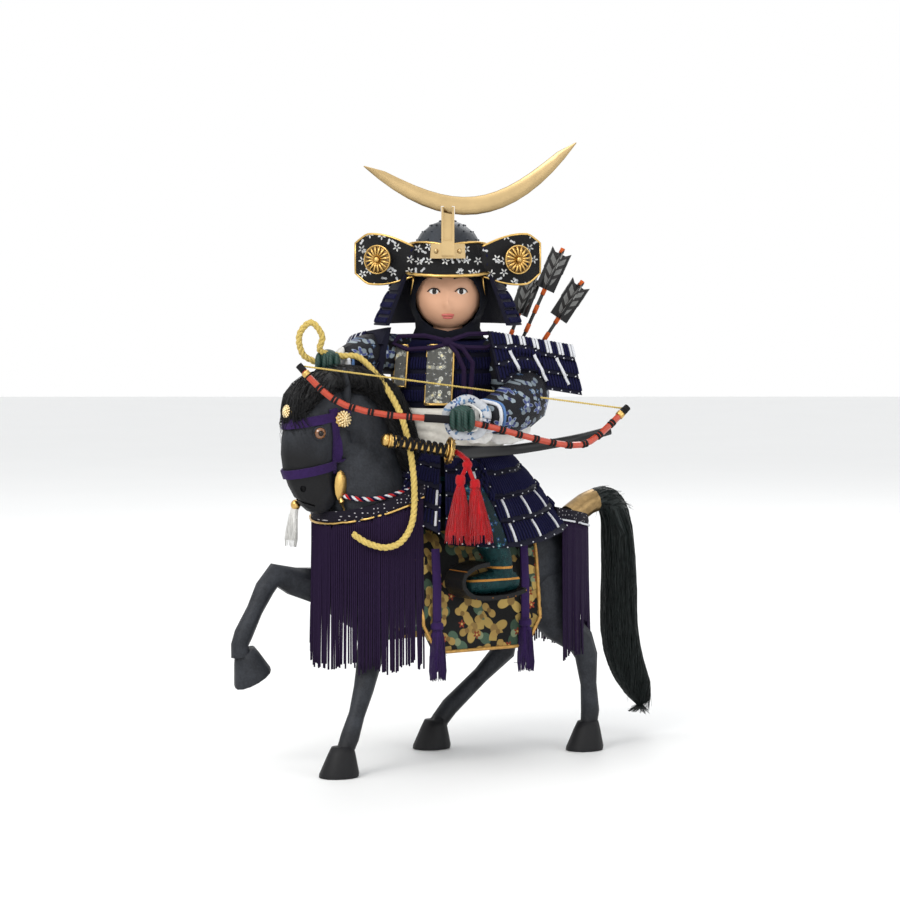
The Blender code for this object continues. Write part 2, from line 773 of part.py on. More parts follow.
def rope_points():
    by_horse = [ahead_of(*p) for p in (
        (0.0770, 0.0290, 0.1620), (0.0700, 0.0360, 0.1560), (0.0600, 0.0430, 0.1530),
        (0.0500, 0.0475, 0.1570), (0.0420, 0.0480, 0.1690), (0.0390, 0.0465, 0.1860),
        (0.0385, 0.0440, 0.2050), (0.0385, 0.0380, 0.2250), (0.0390, 0.0280, 0.2440), (0.0440, 0.0160, 0.2620),
        (0.0530, 0.0020, 0.2785), (0.0630, -0.0070, 0.2800),
    )]
    hand = right_fist_place()
    loop = [hand + Vector(p) for p in (
        (-0.0050, -0.0040, 0.0080), (-0.0035, -0.0060, 0.0180), (-0.0110, -0.0070, 0.0275),
        (-0.0190, -0.0060, 0.0190), (-0.0170, -0.0030, 0.0060), (-0.0080, 0.0000, 0.0000),
    )]
    return by_horse + loop


def reins():
    finish(cord("rein_braid", rein_points(), REIN_DIAMETER, 2, 1), "braid")
    finish(cord("rein_cord", rope_points(), ROPE_DIAMETER, 2, 1), "rope")


def chin_tassel():
    rows = [(0.086, -0.006, 0.186, 0.0012, 0.0012), (0.092, -0.012, 0.181, 0.0016, 0.0016)]
    rows += [(0.096, -0.014, 0.176, 0.0030, 0.0026), (0.098, -0.015, 0.156, 0.0044, 0.0034)]
    made = loft("chin_tassel", in_plane(rows), LEFTWARD, 8)
    bell = ball("bell", ahead_of(0.087, -0.006, 0.1735), (0.0040, 0.0040, 0.0046), None, 10, 7)
    finish(combine(made, bell), "white")


# A point of an oval round the chest or the croup, bearing 0 straight left and rising away from the middle
def oval(centre, reach, half_width, bearing, grow, up):
    turn = math.radians(bearing)
    ahead = centre + math.copysign(abs(reach) + grow, reach) * math.sin(turn)
    return ahead_of(ahead, (half_width + grow) * math.cos(turn), up)


def breast_height(bearing):
    side = abs(bearing - 90) / 90
    return 0.171 + 0.016 * side ** 2


def croup_height(bearing):
    side = abs(bearing - 90) / 90
    return 0.158 + 0.011 * side ** 1.5


def breast_oval(bearing, grow, up):
    return oval(BREAST_CENTRE, BREAST_REACH, BREAST_HALF_WIDTH, bearing, grow, up)


def croup_oval(bearing, grow, up):
    return oval(CROUP_CENTRE, -CROUP_REACH, CROUP_HALF_WIDTH, bearing, grow, up)


def strap_band(name, place, height, first, last, look):
    bearings = [first + (last - first) * k / 12 for k in range(13)]
    ups = (COLLAR_WIDTH / 2, 0, -COLLAR_WIDTH / 2)
    outs = (0.0006, 0.0014, 0.0006)
    front = [[place(b, out, height(b) + up) for b in bearings] for up, out in zip(ups, outs)]
    back = [[place(b, -0.010, height(b) + up) for b in bearings] for up in ups]
    finish(shell(name, front, back), look)


def fringe(name, place, height, first, last, bottom):
    length = math.radians(last - first) * (BREAST_REACH + BREAST_HALF_WIDTH) / 2
    pleats = max(4, round(length / FRINGE_PLEAT))
    columns = [k / (2 * pleats) for k in range(2 * pleats + 1)]
    front, back = [], []
    for share in (0, 1):
        outer, inner = [], []
        for k, column in enumerate(columns):
            bearing = first + (last - first) * column
            top = height(bearing) - COLLAR_WIDTH / 2 - CLEARANCE * 2
            low = bottom(bearing) + 0.0015 * math.sin(5 * bearing)
            up = top + (low - top) * share
            fold = 0.0008 * (k % 2) * (0.4 + 0.6 * share)
            outer.append(place(bearing, fold + 0.0012 * share, up))
            inner.append(place(bearing, fold + 0.0012 * share - FRINGE_THICKNESS, up))
        front.append(outer)
        back.append(inner)
    finish(shell(name, front, back), "fringe")


def breast_bottom(bearing):
    return FRINGE_BOTTOM + 0.072 / (1 + math.exp(-(bearing - 122) / 4))


def breast_and_croup():
    strap_band("breast_collar", breast_oval, breast_height, -8, 188, "lacquer")
    fringe("breast_fringe", breast_oval, breast_height, -6, 168, breast_bottom)
    strap_band("crupper_band", croup_oval, croup_height, 0, 180, "lacquer")
    fringe("crupper_fringe", croup_oval, croup_height, 6, 174, lambda bearing: FRINGE_BOTTOM)


def saddle():
    rows = []
    half = SADDLE_WIDTH / 2
    seat = BACK_HEIGHT
    for share, rise, width in ((0, 1.5, 0.80), (0.08, 1.6, 0.98), (0.22, 0.95, 1.0), (0.5, 0.75, 0.96), (0.78, 0.95, 0.98), (0.92, 1.6, 0.94), (1, 1.5, 0.76)):
        ahead = SADDLE_AHEAD + (share - 0.5) * SADDLE_LENGTH
        top, low = seat + rise * SADDLE_RISE, seat - 0.022
        rows.append((ahead, 0, (top + low) / 2, width * half, (top - low) / 2))
    finish(loft("saddle", in_plane(rows), LEFTWARD, 12, 1), "lacquer")


def flap(name, side):
    columns = [k / 10 for k in range(11)]
    half = FLAP_LENGTH / 2
    front, back = [], []
    for i in range(8):
        outer, inner = [], []
        for column in columns:
            offset = (2 * column - 1) * half
            past = max(0, abs(offset) - half + FLAP_CORNER) / FLAP_CORNER
            lift = FLAP_CORNER * (1 - math.sqrt(max(0, 1 - past * past)))
            middle, wide, tall = trunk_at(FLAP_AHEAD + offset)
            for grow, row in ((FLAP_THICKNESS, outer), (0, inner)):
                wide_now = wide + FLAP_ROOM + grow
                if i < 5:
                    turn = math.radians(24 + 66 * i / 4)
                    left = wide_now * math.sin(turn)
                    up = middle + (tall + FLAP_ROOM + grow) * math.cos(turn)
                else:
                    share = (i - 4) / 3
                    left = wide_now + 0.004 * share
                    up = middle + (FLAP_BOTTOM + lift - middle) * share
                row.append(ahead_of(FLAP_AHEAD + offset, side * left, up))
        front.append(outer)
        back.append(inner)
    finish(shell(name, front, back), "brocade")


def stirrup(name, side):
    line = smooth((
        (-0.50, 0.16), (-0.30, 0.04), (0.00, 0.00), (0.30, 0.06), (0.46, 0.36), (0.44, 0.72), (0.26, 0.95), (0.06, 1.0),
    ), 2)
    outer, inner = [], []
    for i, (along, rise) in enumerate(line):
        one, two = line[max(i - 1, 0)], line[min(i + 1, len(line) - 1)]
        run, climb = (two[0] - one[0]) * STIRRUP_LENGTH, (two[1] - one[1]) * STIRRUP_HEIGHT
        size = math.hypot(run, climb)
        ahead = STIRRUP_AHEAD + along * STIRRUP_LENGTH
        up = STIRRUP_BOTTOM + rise * STIRRUP_HEIGHT
        outer.append((ahead, up))
        inner.append((ahead - climb / size * SOLE_THICKNESS, up + run / size * SOLE_THICKNESS))
    sides = (side * (STIRRUP_OUT - STIRRUP_WIDTH / 2), side * (STIRRUP_OUT + STIRRUP_WIDTH / 2))
    front = [[ahead_of(a, left, u) for a, u in outer] for left in sides]
    back = [[ahead_of(a, left, u) for a, u in inner] for left in sides]
    finish(shell(name, front, back), "lacquer")


def tassel_rows(top, bottom, head, spread):
    rows = []
    for share, size in ((0, 0.75), (0.04, 1.0), (0.13, 1.0), (0.17, 0.72), (0.25, 0.95), (1, spread)):
        rows.append((*top.lerp(bottom, share), size * head, size * head))
    return rows


def saddle_tassel(name, ahead, top, knot, bottom):
    _, wide, _ = trunk_at(ahead)
    out = wide + FLAP_THICKNESS + 0.0060
    strap = [(ahead, out - 0.002, top, 0.0035, 0.0014), (ahead, out, (top + knot) / 2, 0.0036, 0.0014), (ahead, out, knot - 0.003, 0.0036, 0.0014)]
    made = loft(name, in_plane(strap), FORWARD, 6, 1)
    upper, lower = ahead_of(ahead, out, knot), ahead_of(ahead, out + 0.001, bottom)
    tassel = loft("tassel", tassel_rows(upper, lower, 0.0046, 1.15), EAST, 10, 1)
    finish(combine(made, tassel), "purple")


# Rider

def torso():
    half, deep = TORSO_WIDTH / 2, TORSO_DEPTH / 2
    rows = []
    for up, north, width, depth in (
        (SEAT_HEIGHT - 0.0045, 0.0, 0.86, 1.05), (SEAT_HEIGHT + 0.010, 0.0, 0.98, 1.10),
        (WAIST_HEIGHT, -0.002, 0.96, 1.04), (WAIST_HEIGHT + SASH_HEIGHT, -0.003, 0.98, 1.0),
        (SHOULDER_HEIGHT - 0.018, -0.003, 1.12, 1.05), (SHOULDER_HEIGHT - 0.003, -0.002, 1.08, 0.92),
        (SHOULDER_HEIGHT + 0.005, -0.004, 0.60, 0.70), (SHOULDER_HEIGHT + 0.010, -0.006, 0.36, 0.50),
    ):
        rows.append((*by_rider(0.003, north, up), width * half, depth * deep))
    finish(loft("torso_armour", rows, EAST, 12), "lacing")


def chest_panel(name, east, low, high, width):
    deep = TORSO_DEPTH / 2
    front = []
    back = []
    for k in range(5):
        up = low + (high - low) * k / 4
        lean = 0.002 * k / 4
        out = deep * 1.04 + 0.0055 - 0.10 * max(0, up - SHOULDER_HEIGHT + 0.018)
        row_front, row_back = [], []
        for share in (-0.5, -0.25, 0.25, 0.5):
            x = east + lean + share * width
            fall = 0.35 * x * x / (TORSO_WIDTH / 2)
            crown = 0.0006 if abs(share) < 0.4 else 0
            row_front.append(by_rider(x, -out - crown + fall, up))
            row_back.append(by_rider(x, -out + 0.007 + fall, up))
        front.append(row_front)
        back.append(row_back)
    finish(shell(name, front, back), "silver")


def sash():
    rows = []
    for share, size in ((0, 0.94), (0.12, 1.0), (0.5, 0.98), (0.88, 1.0), (1, 0.93)):
        up = WAIST_HEIGHT - 0.002 + share * SASH_HEIGHT
        half = size * SASH_WIDTH / 2
        rows.append((*by_rider(0.004, -0.003, up), half, half * 0.76))
    finish(loft("waist_sash", rows, EAST, 12, 1), "white")


# Rows of laced plates: each tier overlaps the one below it and steps out
def laced_plates(name, place, columns, tiers, step, look="lacing"):
    lines = []
    for tier in range(tiers):
        lines += [(tier / tiers + 0.012, 0.35 * step), ((tier + 0.97) / tiers, step)]
    across = [k / columns for k in range(columns + 1)]
    front = [[place(u, v, out + PLATE_THICKNESS) for u in across] for v, out in lines]
    back = [[place(u, v, 0) for u in across] for v, _ in lines]
    return shell(name, front, back)


# Bearing of each edge, radius and height of the lower edge at each
SKIRT_PANELS = {
    "skirt_left": ((4, 0.060, 0.153), (50, 0.068, 0.150), (98, 0.086, 0.160)),
    "skirt_front": ((-78, 0.050, 0.184), (-40, 0.054, 0.180), (0, 0.062, 0.160)),
    "skirt_back": ((102, 0.074, 0.176), (135, 0.062, 0.182), (168, 0.058, 0.180)),
    "skirt_right": ((172, 0.060, 0.156), (215, 0.066, 0.150), (262, 0.058, 0.162)),
}


def skirt(name):
    spots = smooth(SKIRT_PANELS[name], 4)
    waist = SASH_WIDTH / 2 * 0.88
    top = WAIST_HEIGHT + 0.002

    def place(u, v, out):
        where = u * (len(spots) - 1)
        i = min(int(where), len(spots) - 2)
        bearing, radius, low = [a + (where - i) * (b - a) for a, b in zip(spots[i], spots[i + 1])]
        low = top - (top - low) * SKIRT_DROP / 0.062
        turn = math.radians(bearing)
        oval_waist = waist / math.hypot(math.sin(turn), math.cos(turn) / 0.80)
        reach = oval_waist + (radius - oval_waist) * v ** 0.8 + out
        return round_rider(bearing, reach, top + (low - top) * v)

    finish(laced_plates(name, place, 6, SKIRT_TIERS, SKIRT_STEP), "lacing")


def shoulder_guard(name, inner, outer, tip):
    inner, outer, tip = Vector(inner), Vector(outer), Vector(tip)
    along = (outer - inner).normalized()
    facing = along.cross(UP).normalized()
    if facing.y > 0:
        facing = -facing

    def place(u, v, out):
        bow = 0.006 * math.sin(math.pi * u)
        down = tip * v * SHOULDER_GUARD_HEIGHT
        return inner + along * u * SHOULDER_GUARD_WIDTH + down + facing * (out + bow + 0.004 * v)

    finish(laced_plates(name, place, 6, SHOULDER_GUARD_TIERS, 0.0034), "lacing")


def sleeves():
    wide, thin = SLEEVE_RADIUS, WRIST_RADIUS
    left = [
        (*by_rider(0.026, -0.002, 0.280), 0.86 * wide, 0.80 * wide), (*by_rider(0.044, -0.006, 0.268), 0.98 * wide, 0.9 * wide),
        (*by_rider(0.058, -0.022, 0.254), 1.08 * wide, 1.0 * wide), (*by_rider(0.052, -0.046, 0.246), 1.04 * wide, 1.0 * wide),
        (*by_rider(0.038, -0.062, 0.2415), 0.86 * wide, 0.84 * wide), (*by_rider(0.029, -0.070, 0.2405), thin, thin),
    ]
    finish(loft("sleeve_left", left, UP, 10), "silk")
    fist = right_fist_place()
    shoulder = by_rider(-0.022, -0.002, 0.279)
    wrist = fist + Vector((0.010, 0.007, 0.001))
    middle = shoulder.lerp(wrist, 0.5) + Vector((-0.002, 0.004, 0.003))
    right = [(*shoulder, 0.86 * wide, 0.8 * wide), (*middle, 0.86 * wide, 0.86 * wide)]
    right += [(*shoulder.lerp(wrist, 0.8), 0.78 * wide, 0.78 * wide), (*wrist, thin * 0.9, thin * 0.9)]
    finish(loft("sleeve_right", right, UP, 10, 2), "silk")


def left_fist_place():
    return by_rider(0.0145, -0.0860, 0.2400)


def right_fist_place():
    return by_rider(-0.0765, -0.0400, 0.2755)


def fist(name, centre, along):
    turn = along.to_track_quat("Z", "Y").to_matrix().to_4x4()
    size = FIST_RADIUS
    made = ball(name, centre, (size * 0.92, size * 0.92, size * 1.05), turn, 10, 6)
    for k in range(4):
        shift = along * (k - 1.5) * size * 0.46
        finger = ball("finger", centre + shift + turn.to_3x3() @ Vector((0, -size * 0.55, 0)), (size * 0.62, size * 0.55, size * 0.27), turn, 6, 4)
        combine(made, finger)
    finish(made, "glove")


def rider_leg(name, side):
    thick, thin = THIGH_RADIUS, SHIN_RADIUS
    ground = STIRRUP_BOTTOM + SOLE_THICKNESS + 0.0085
    out = STIRRUP_OUT
    rows = [
        (-0.015, 0.014, 0.192, thick, thick), (-0.010, 0.036, 0.184, thick * 0.95, thick * 0.95),
        (-0.010, out - 0.006, 0.170, thick * 0.85, thick * 0.85), (-0.018, out, 0.153, thin, thin * 1.15),
        (-0.024, out, 0.139, thin * 0.85, thin * 0.95), (-0.026, out, ground, thin * 0.78, thin * 0.82),
    ]
    rows = [(a, side * l, u, w, d) for a, l, u, w, d in rows]
    made = loft(name, in_plane(rows), FORWARD, 8)
    foot = [(-0.036, ground - 0.001, 0.7, 0.62), (-0.026, ground, 0.8, 0.8), (-0.008, ground - 0.001, 0.80, 0.70), (0.004, ground - 0.002, 0.66, 0.5)]
    shape = [(a, side * out, u, w * thin, d * thin) for a, u, w, d in foot]
    finish(combine(made, loft("foot", in_plane(shape), LEFTWARD, 8)), "glove")


# Head and helmet

HEAD_MIDDLE = by_rider(0.005, -0.008, HEAD_CENTRE_HEIGHT)


def hill(across, up, wide, tall):
    return math.exp(-(across / wide) ** 2 - (up / tall) ** 2)


# How far the face stands out at a place across and above its middle, in millimetres
def relief(across, up):
    side = abs(across)
    nose = 3.6 * hill(across, up + 8.5, 2.4, 2.6) + 1.7 * hill(across, up + 3, 2.0, 5)
    mouth = 1.1 * hill(across, up + 14.6, 4.2, 1.1) + 1.0 * hill(across, up + 16.8, 3.4, 1.2)
    sockets = -1.2 * hill(side - 9, up - 0.5, 4.6, 3.2)
    cheeks = 1.3 * hill(side - 12, up + 9, 7, 7) + 1.2 * hill(across, up + 22, 6, 4)
    return nose + mouth + sockets + cheeks


def rider_head():
    maker = bmesh.new()
    columns, rows = 22, 14
    halves = Vector((FACE_WIDTH / 2, FACE_DEPTH / 2, FACE_HEIGHT / 2))
    grid = []
    for i in range(1, rows):
        t = 2 * i / rows - 1
        lift = math.pi / 2 * (0.72 * t + 0.28 * t ** 3)
        ring = []
        for j in range(columns):
            s = 2 * j / columns - 1
            turn = math.pi * (0.42 * s + 0.58 * s ** 3)
            point = Vector((math.sin(turn) * math.cos(lift), -math.cos(turn) * math.cos(lift), math.sin(lift)))
            place = Vector((point.x * halves.x, point.y * halves.y, point.z * halves.z))
            front = max(0, -point.y)
            jaw = 1 - 0.10 * max(0, -point.z) * front
            place.x *= jaw
            place.y -= 0.001 * relief(place.x * 1000, place.z * 1000) * min(1, 2 * front)
            ring.append(maker.verts.new(HEAD_MIDDLE + place))
        grid.append(ring)
    poles = [maker.verts.new(HEAD_MIDDLE - UP * halves.z), maker.verts.new(HEAD_MIDDLE + UP * halves.z)]
    for one, two in zip(grid, grid[1:]):
        for j in range(columns):
            maker.faces.new((one[j], one[j - 1], two[j - 1], two[j]))
    for pole, ring in zip(poles, (grid[0], grid[-1])):
        for j in range(columns):
            maker.faces.new((pole, ring[j], ring[j - 1]))
    head = solid("head", maker)
    neck = [(*(HEAD_MIDDLE + Vector((0, 0.004, up))), 0.0105, 0.0105) for up in (-0.018, -0.033)]
    finish(combine(head, loft("throat", neck, EAST, 12, 1)), "skin")


def hood():
    grow = HOOD_THICKNESS
    halves = (FACE_WIDTH / 2 + grow, FACE_DEPTH / 2 + grow, FACE_HEIGHT / 2 + grow)
    made = ball("hood", HEAD_MIDDLE + Vector((0, 0.002, 0)), halves, None, 14, 9)
    cape = [(*(HEAD_MIDDLE + Vector((0, 0.006, up))), w, d) for up, w, d in ((-0.010, 0.024, 0.024), (-0.024, 0.023, 0.022), (-0.031, 0.026, 0.020))]
    combine(made, loft("cape", cape, EAST, 12, 1))
    opening = [(*(HEAD_MIDDLE + Vector((0, north, -0.005))), FACE_WIDTH / 2 - 0.001, FACE_HEIGHT / 2 - 0.004) for north in (-0.05, -0.012, 0.0)]
    combine(made, loft("opening", opening, EAST, 14, 1), "DIFFERENCE")
    room = 0.0017
    halves = (FACE_WIDTH / 2 + room, FACE_DEPTH / 2 + room, FACE_HEIGHT / 2 + room)
    combine(made, ball("hollow", HEAD_MIDDLE, halves, None, 12, 8), "DIFFERENCE")
    finish(made, "silk")


def helmet_bowl():
    base = HEAD_MIDDLE + Vector((0, -0.001, 0.019))
    maker = bmesh.new()
    sides = 2 * BOWL_RIBS
    rings = []
    levels = (-0.12, 0, 0.25, 0.5, 0.72, 0.9)
    for level in levels:
        lift = level * math.pi / 2
        ring = []
        for k in range(sides):
            turn = math.tau * k / sides
            rib = RIB_HEIGHT * (k % 2) * math.cos(lift)
            reach = (BOWL_RADIUS - RIB_HEIGHT + rib) * math.cos(max(lift, 0))
            up = BOWL_HEIGHT * math.sin(max(lift, 0)) + min(lift, 0) * 0.02
            ring.append(maker.verts.new(base + Vector((math.sin(turn) * reach, -math.cos(turn) * reach, up))))
        rings.append(ring)
    for one, two in zip(rings, rings[1:]):
        for k in range(sides):
            maker.faces.new((one[k], one[k - 1], two[k - 1], two[k]))
    maker.faces.new(rings[0])
    maker.faces.new(rings[-1])
    made = solid("helmet_bowl", maker)
    top = base + UP * BOWL_HEIGHT
    knob = ball("knob", top - UP * 0.0008, (0.0042, 0.0042, 0.0016), None, 12, 6)
    finish(combine(made, knob), "lacquer")


def round_head(bearing, radius, up):
    turn = math.radians(bearing)
    return HEAD_MIDDLE + Vector((math.sin(turn) * radius, -math.cos(turn) * radius, up))


def helmet_brim():
    front, back = [], []
    top, low = 0.034, 0.034 - BRIM_DROP
    for share in (0, 0.5, 1):
        outer, inner = [], []
        for k in range(15):
            bearing = -78 + 156 * k / 14
            side = abs(bearing) / 78
            upper = top + 0.002 * math.sin(math.pi * side) - 0.001
            up = upper + (low + 0.004 * side ** 2 - upper) * share
            reach = BOWL_RADIUS - CLEARANCE + (BRIM_REACH * (1 - 0.55 * side ** 2)) * share ** 1.3 * 0.75
            outer.append(round_head(bearing, reach + PLATE_THICKNESS, up))
            inner.append(round_head(bearing, reach, up))
        front.append(outer)
        back.append(inner)
    finish(shell("helmet_brim", front, back), "lacquer")


def wing(side):
    front, back = [], []
    root = round_head(side * 52, BOWL_RADIUS + 0.003, 0.020)
    for share in (0, 0.18, 0.42, 0.68, 0.9, 1):
        spread = 0.62 + 0.45 * math.sin(math.pi * min(share * 0.75, 1)) - 0.30 * max(0, share - 0.8) / 0.2
        middle = root + Vector((side * WING_LENGTH * share, WING_LENGTH * (0.10 * share + 0.30 * share ** 2), 0.002 + 0.002 * share))
        row_front, row_back = [], []
        for level in (-0.5, -0.2, 0.2, 0.5):
            up = UP * level * spread * WING_HEIGHT
            bulge = Vector((0, -0.003 * (1 - 4 * level * level), 0))
            row_front.append(middle + up + bulge)
            row_back.append(middle + up + bulge + Vector((0, PLATE_THICKNESS, 0)))
        front.append(row_front)
        back.append(row_back)
    made = shell("wing", front, back)
    facing = Vector((-side * 0.30, -1, 0)).normalized()
    spot = root + Vector((side * WING_LENGTH * 0.60, WING_LENGTH * 0.168 - 0.0042, 0.0032))
    return combine(made, rosette("disc", spot, facing, WING_DISC_RADIUS, 8))


def neck_guard():
    top_radius = BOWL_RADIUS - 2 * CLEARANCE

    def place(u, v, out):
        bearing = 56 + 248 * u
        reach = top_radius + (GUARD_BOTTOM_RADIUS - top_radius) * v ** 0.9 + out
        up = 0.026 - GUARD_DROP * v
        return round_head(bearing, reach, up)

    made = laced_plates("neck_guard", place, 12, 4, 0.0022)
    join_all(made, wing(1), wing(-1))
    finish(made, "lacing")


def helmet_cord():
    knot = HEAD_MIDDLE + Vector((0.000, -0.0215, -0.0330))
    loops = [
        [(-0.001, 0, 0.001), (-0.016, 0.000, 0.0045), (-0.033, 0.004, 0.004), (-0.037, 0.006, -0.001), (-0.028, 0.003, -0.005), (-0.012, -0.001, -0.004), (-0.002, 0, -0.002)],
        [(0.001, 0, 0.001), (0.014, 0.000, 0.0055), (0.030, 0.004, 0.006), (0.034, 0.006, 0.000), (0.026, 0.003, -0.004), (0.012, -0.001, -0.0035), (0.002, 0, -0.002)],
        [(0, -0.001, 0), (0.010, -0.003, -0.004), (0.017, -0.004, -0.014), (0.016, -0.004, -0.028), (0.015, -0.004, -0.042)],
        [(0, -0.001, 0), (0.006, -0.003, -0.007), (0.011, -0.004, -0.018), (0.011, -0.004, -0.034)],
    ]
    made = ball("helmet_cord", knot, (0.0042, 0.0034, 0.0034), None, 10, 7)
    for loop in loops:
        route = [knot + Vector(p) for p in loop]
        combine(made, cord("loop", route, 0.0034, 1, 1), crossing=True)
    finish(made, "fringe")


def crest_holder():
    front, back = [], []
    for up in (0.024, 0.034):
        outer, inner = [], []
        for k in range(5):
            bearing = -21 + 42 * k / 4
            reach = BOWL_RADIUS + 0.0052 - 0.10 * (up - 0.024)
            outer.append(round_head(bearing, reach + 0.0016, up))
            inner.append(round_head(bearing, reach, up))
        front.append(outer)
        back.append(inner)
    made = shell("crest_holder", front, back)
    low, high = HEAD_CENTRE_HEIGHT + 0.026, CREST_BASE_HEIGHT + 0.003
    reach = BOWL_RADIUS + 0.0068
    middle = Vector((HEAD_MIDDLE.x, HEAD_MIDDLE.y - reach, (low + high) / 2))
    post = block("post", middle, (0.0044, 0.0024, (high - low) / 2))
    channel = block("channel", middle + Vector((0, -0.0024, 0.006)), (0.0030, 0.0030, (high - low) / 2 - 0.004))
    combine(post, channel, "DIFFERENCE")
    for bearing in (-14, 14):
        rivet = ball("rivet", round_head(bearing, BOWL_RADIUS + 0.0066, 0.0290), (0.0017, 0.0013, 0.0017), None, 10, 6)
        combine(made, rivet)
    finish(combine(made, post), "gold", True)


def crescent():
    count = 16
    middle = Vector((HEAD_MIDDLE.x + 0.0150, HEAD_MIDDLE.y - BOWL_RADIUS - 0.0068, CREST_BASE_HEIGHT + CREST_SAG - 0.0025))
    turn = Matrix.Rotation(-CREST_TILT, 3, "Y")
    half = CREST_SPAN / 2
    front, back = [], []
    rows = []
    for i in range(count + 1):
        share = 2 * i / count - 1
        along = share * half
        fall = CREST_SAG * (1 - share * share)
        width = CREST_WIDTH * math.sqrt(max(0, 1 - abs(share) ** 2.4)) + 0.0008
        slope = math.atan(2 * CREST_SAG * share / half)
        inward = Vector((-math.sin(slope), 0, math.cos(slope)))
        base = Vector((along, 0, -fall))
        rows.append((base, inward, width))
    for reach, out in ((0, 0.10), (0.30, 0.5), (0.92, 0.42), (1, 0.12)):
        line_front, line_back = [], []
        for base, inward, width in rows:
            spot = base + inward * width * reach
            line_front.append(middle + turn @ (spot - Vector((0, out * CREST_THICKNESS, 0))))
            line_back.append(middle + turn @ (spot + Vector((0, out * CREST_THICKNESS * 0.6, 0))))
        front.append(line_front)
        back.append(line_back)
    finish(shell("crescent_crest", front, back), "gold")


# Weapons and trims

def sword():
    pommel = by_rider(-0.0365, -0.0700, 0.2245)
    guard = by_rider(0.0070, -0.0600, 0.2165)
    grip = [(*pommel.lerp(guard, t), r * SWORD_GRIP_DIAMETER / 2, r * SWORD_GRIP_DIAMETER / 2) for t, r in ((0, 0.75), (0.05, 1.15), (0.16, 1.15), (0.18, 0.9), (0.55, 0.86), (1, 0.95))]
    made = loft("sword", grip, UP, 10, 1)
    along = (guard - pommel).normalized()
    plate = rosette("guard", guard, along, SWORD_GUARD_RADIUS, 6)
    finish(combine(made, plate), "gold")


def scabbard_points():
    return [by_rider(*p) for p in (
        (0.0085, -0.0596, 0.2162), (0.0220, -0.0420, 0.2145), (0.0370, -0.0240, 0.2140),
        (0.0560, -0.0100, 0.2150), (0.0800, 0.0020, 0.2180), (0.1000, 0.0100, 0.2215), (0.1180, 0.0160, 0.2260),
    )]


def scabbard():
    radius = SCABBARD_DIAMETER / 2
    rows = [(*p, radius * (1.12 if i < 2 else 1.0 - 0.04 * i), radius * 0.72) for i, p in enumerate(scabbard_points())]
    finish(loft("scabbard", rows, UP, 8), "lacquer")


def bow_points():
    return [by_rider(*p) for p in (
        (-0.0945, -0.0840, 0.2755), (-0.0800, -0.0880, 0.2600), (-0.0630, -0.0900, 0.2490),
        (-0.0330, -0.0920, 0.2425), (0.0180, -0.0880, 0.2380), (0.0530, -0.0760, 0.2285),
        (0.0780, -0.0650, 0.2220), (0.0950, -0.0550, 0.2205), (0.1080, -0.0480, 0.2270), (0.1275, -0.0360, 0.2450),
    )]


def bow_and_string():
    route = bow_points()
    finish(cord("bow", route, BOW_DIAMETER, 2, 1), "vermilion")
    ends = [route[0].lerp(route[1], 0.14), route[-1].lerp(route[-2], 0.14)]
    lift = Vector((0, BOW_DIAMETER / 2, BOW_DIAMETER / 3))
    points = [ends[0].lerp(ends[1], k / 6) + lift for k in range(7)]
    finish(cord("bowstring", points, STRING_DIAMETER, 1, 1), "rope")


def arrow(base, tip):
    along = (tip - base).normalized()
    rows = [(*base, ARROW_DIAMETER / 2, ARROW_DIAMETER / 2), (*tip, ARROW_DIAMETER / 2, ARROW_DIAMETER / 2)]
    made = loft("arrow", rows, EAST, 6, 1)
    turn = along.to_track_quat("Z", "Y").to_matrix().to_4x4()
    middle = tip - along * (VANE_LENGTH / 2 + 0.004)
    for spin in (0, math.pi / 2):
        place = turn @ Matrix.Rotation(spin, 4, "Z")
        vane = block("vane", middle, (VANE_WIDTH / 2, 0.0005, VANE_LENGTH / 2), place)
        combine(made, vane)
    return made


def quiver():
    centre = by_rider(0.030, 0.036, 0.226)
    lean = Matrix.Rotation(math.radians(22), 4, "Y")
    made = block("quiver", centre, (QUIVER_WIDTH / 2, QUIVER_DEPTH / 2, QUIVER_HEIGHT / 2), lean, 0.002)
    mouth = centre + lean.to_3x3() @ Vector((0, 0, QUIVER_HEIGHT / 2 - 0.004))
    for shift, tip in ((-0.006, (0.0660, 0.050, 0.3350)), (0.0, (0.0860, 0.044, 0.3520)), (0.006, (0.1000, 0.050, 0.3290))):
        combine(made, arrow(mouth + Vector((shift, 0.002 * shift / 0.006, 0)), by_rider(*tip)))
    finish(made, "lacquer", True)


def sash_tassels():
    top = by_rider(0.0100, -0.0605, 0.2165)
    knot = by_rider(0.0180, -0.0690, 0.2080)
    made = cord("sash_tassels", (top, knot + Vector((0, 0, 0.003)), knot), 0.0036, 2, 1)
    combine(made, ball("knot", knot, (0.0036, 0.0032, 0.0032), None, 10, 7))
    for east, head_up, bottom_east in ((-0.0045, 0.1980, -0.0060), (0.0050, 0.1950, 0.0080)):
        head = Vector((knot.x + east, knot.y - 0.001, head_up))
        combine(made, cord("strand", (knot, head), 0.0030, 1, 1))
        low = Vector((knot.x + bottom_east, knot.y - 0.001, 0.1610))
        combine(made, loft("tassel", tassel_rows(head + UP * 0.003, low, 0.0036, 2.4), EAST, 8, 1))
    finish(made, "red")


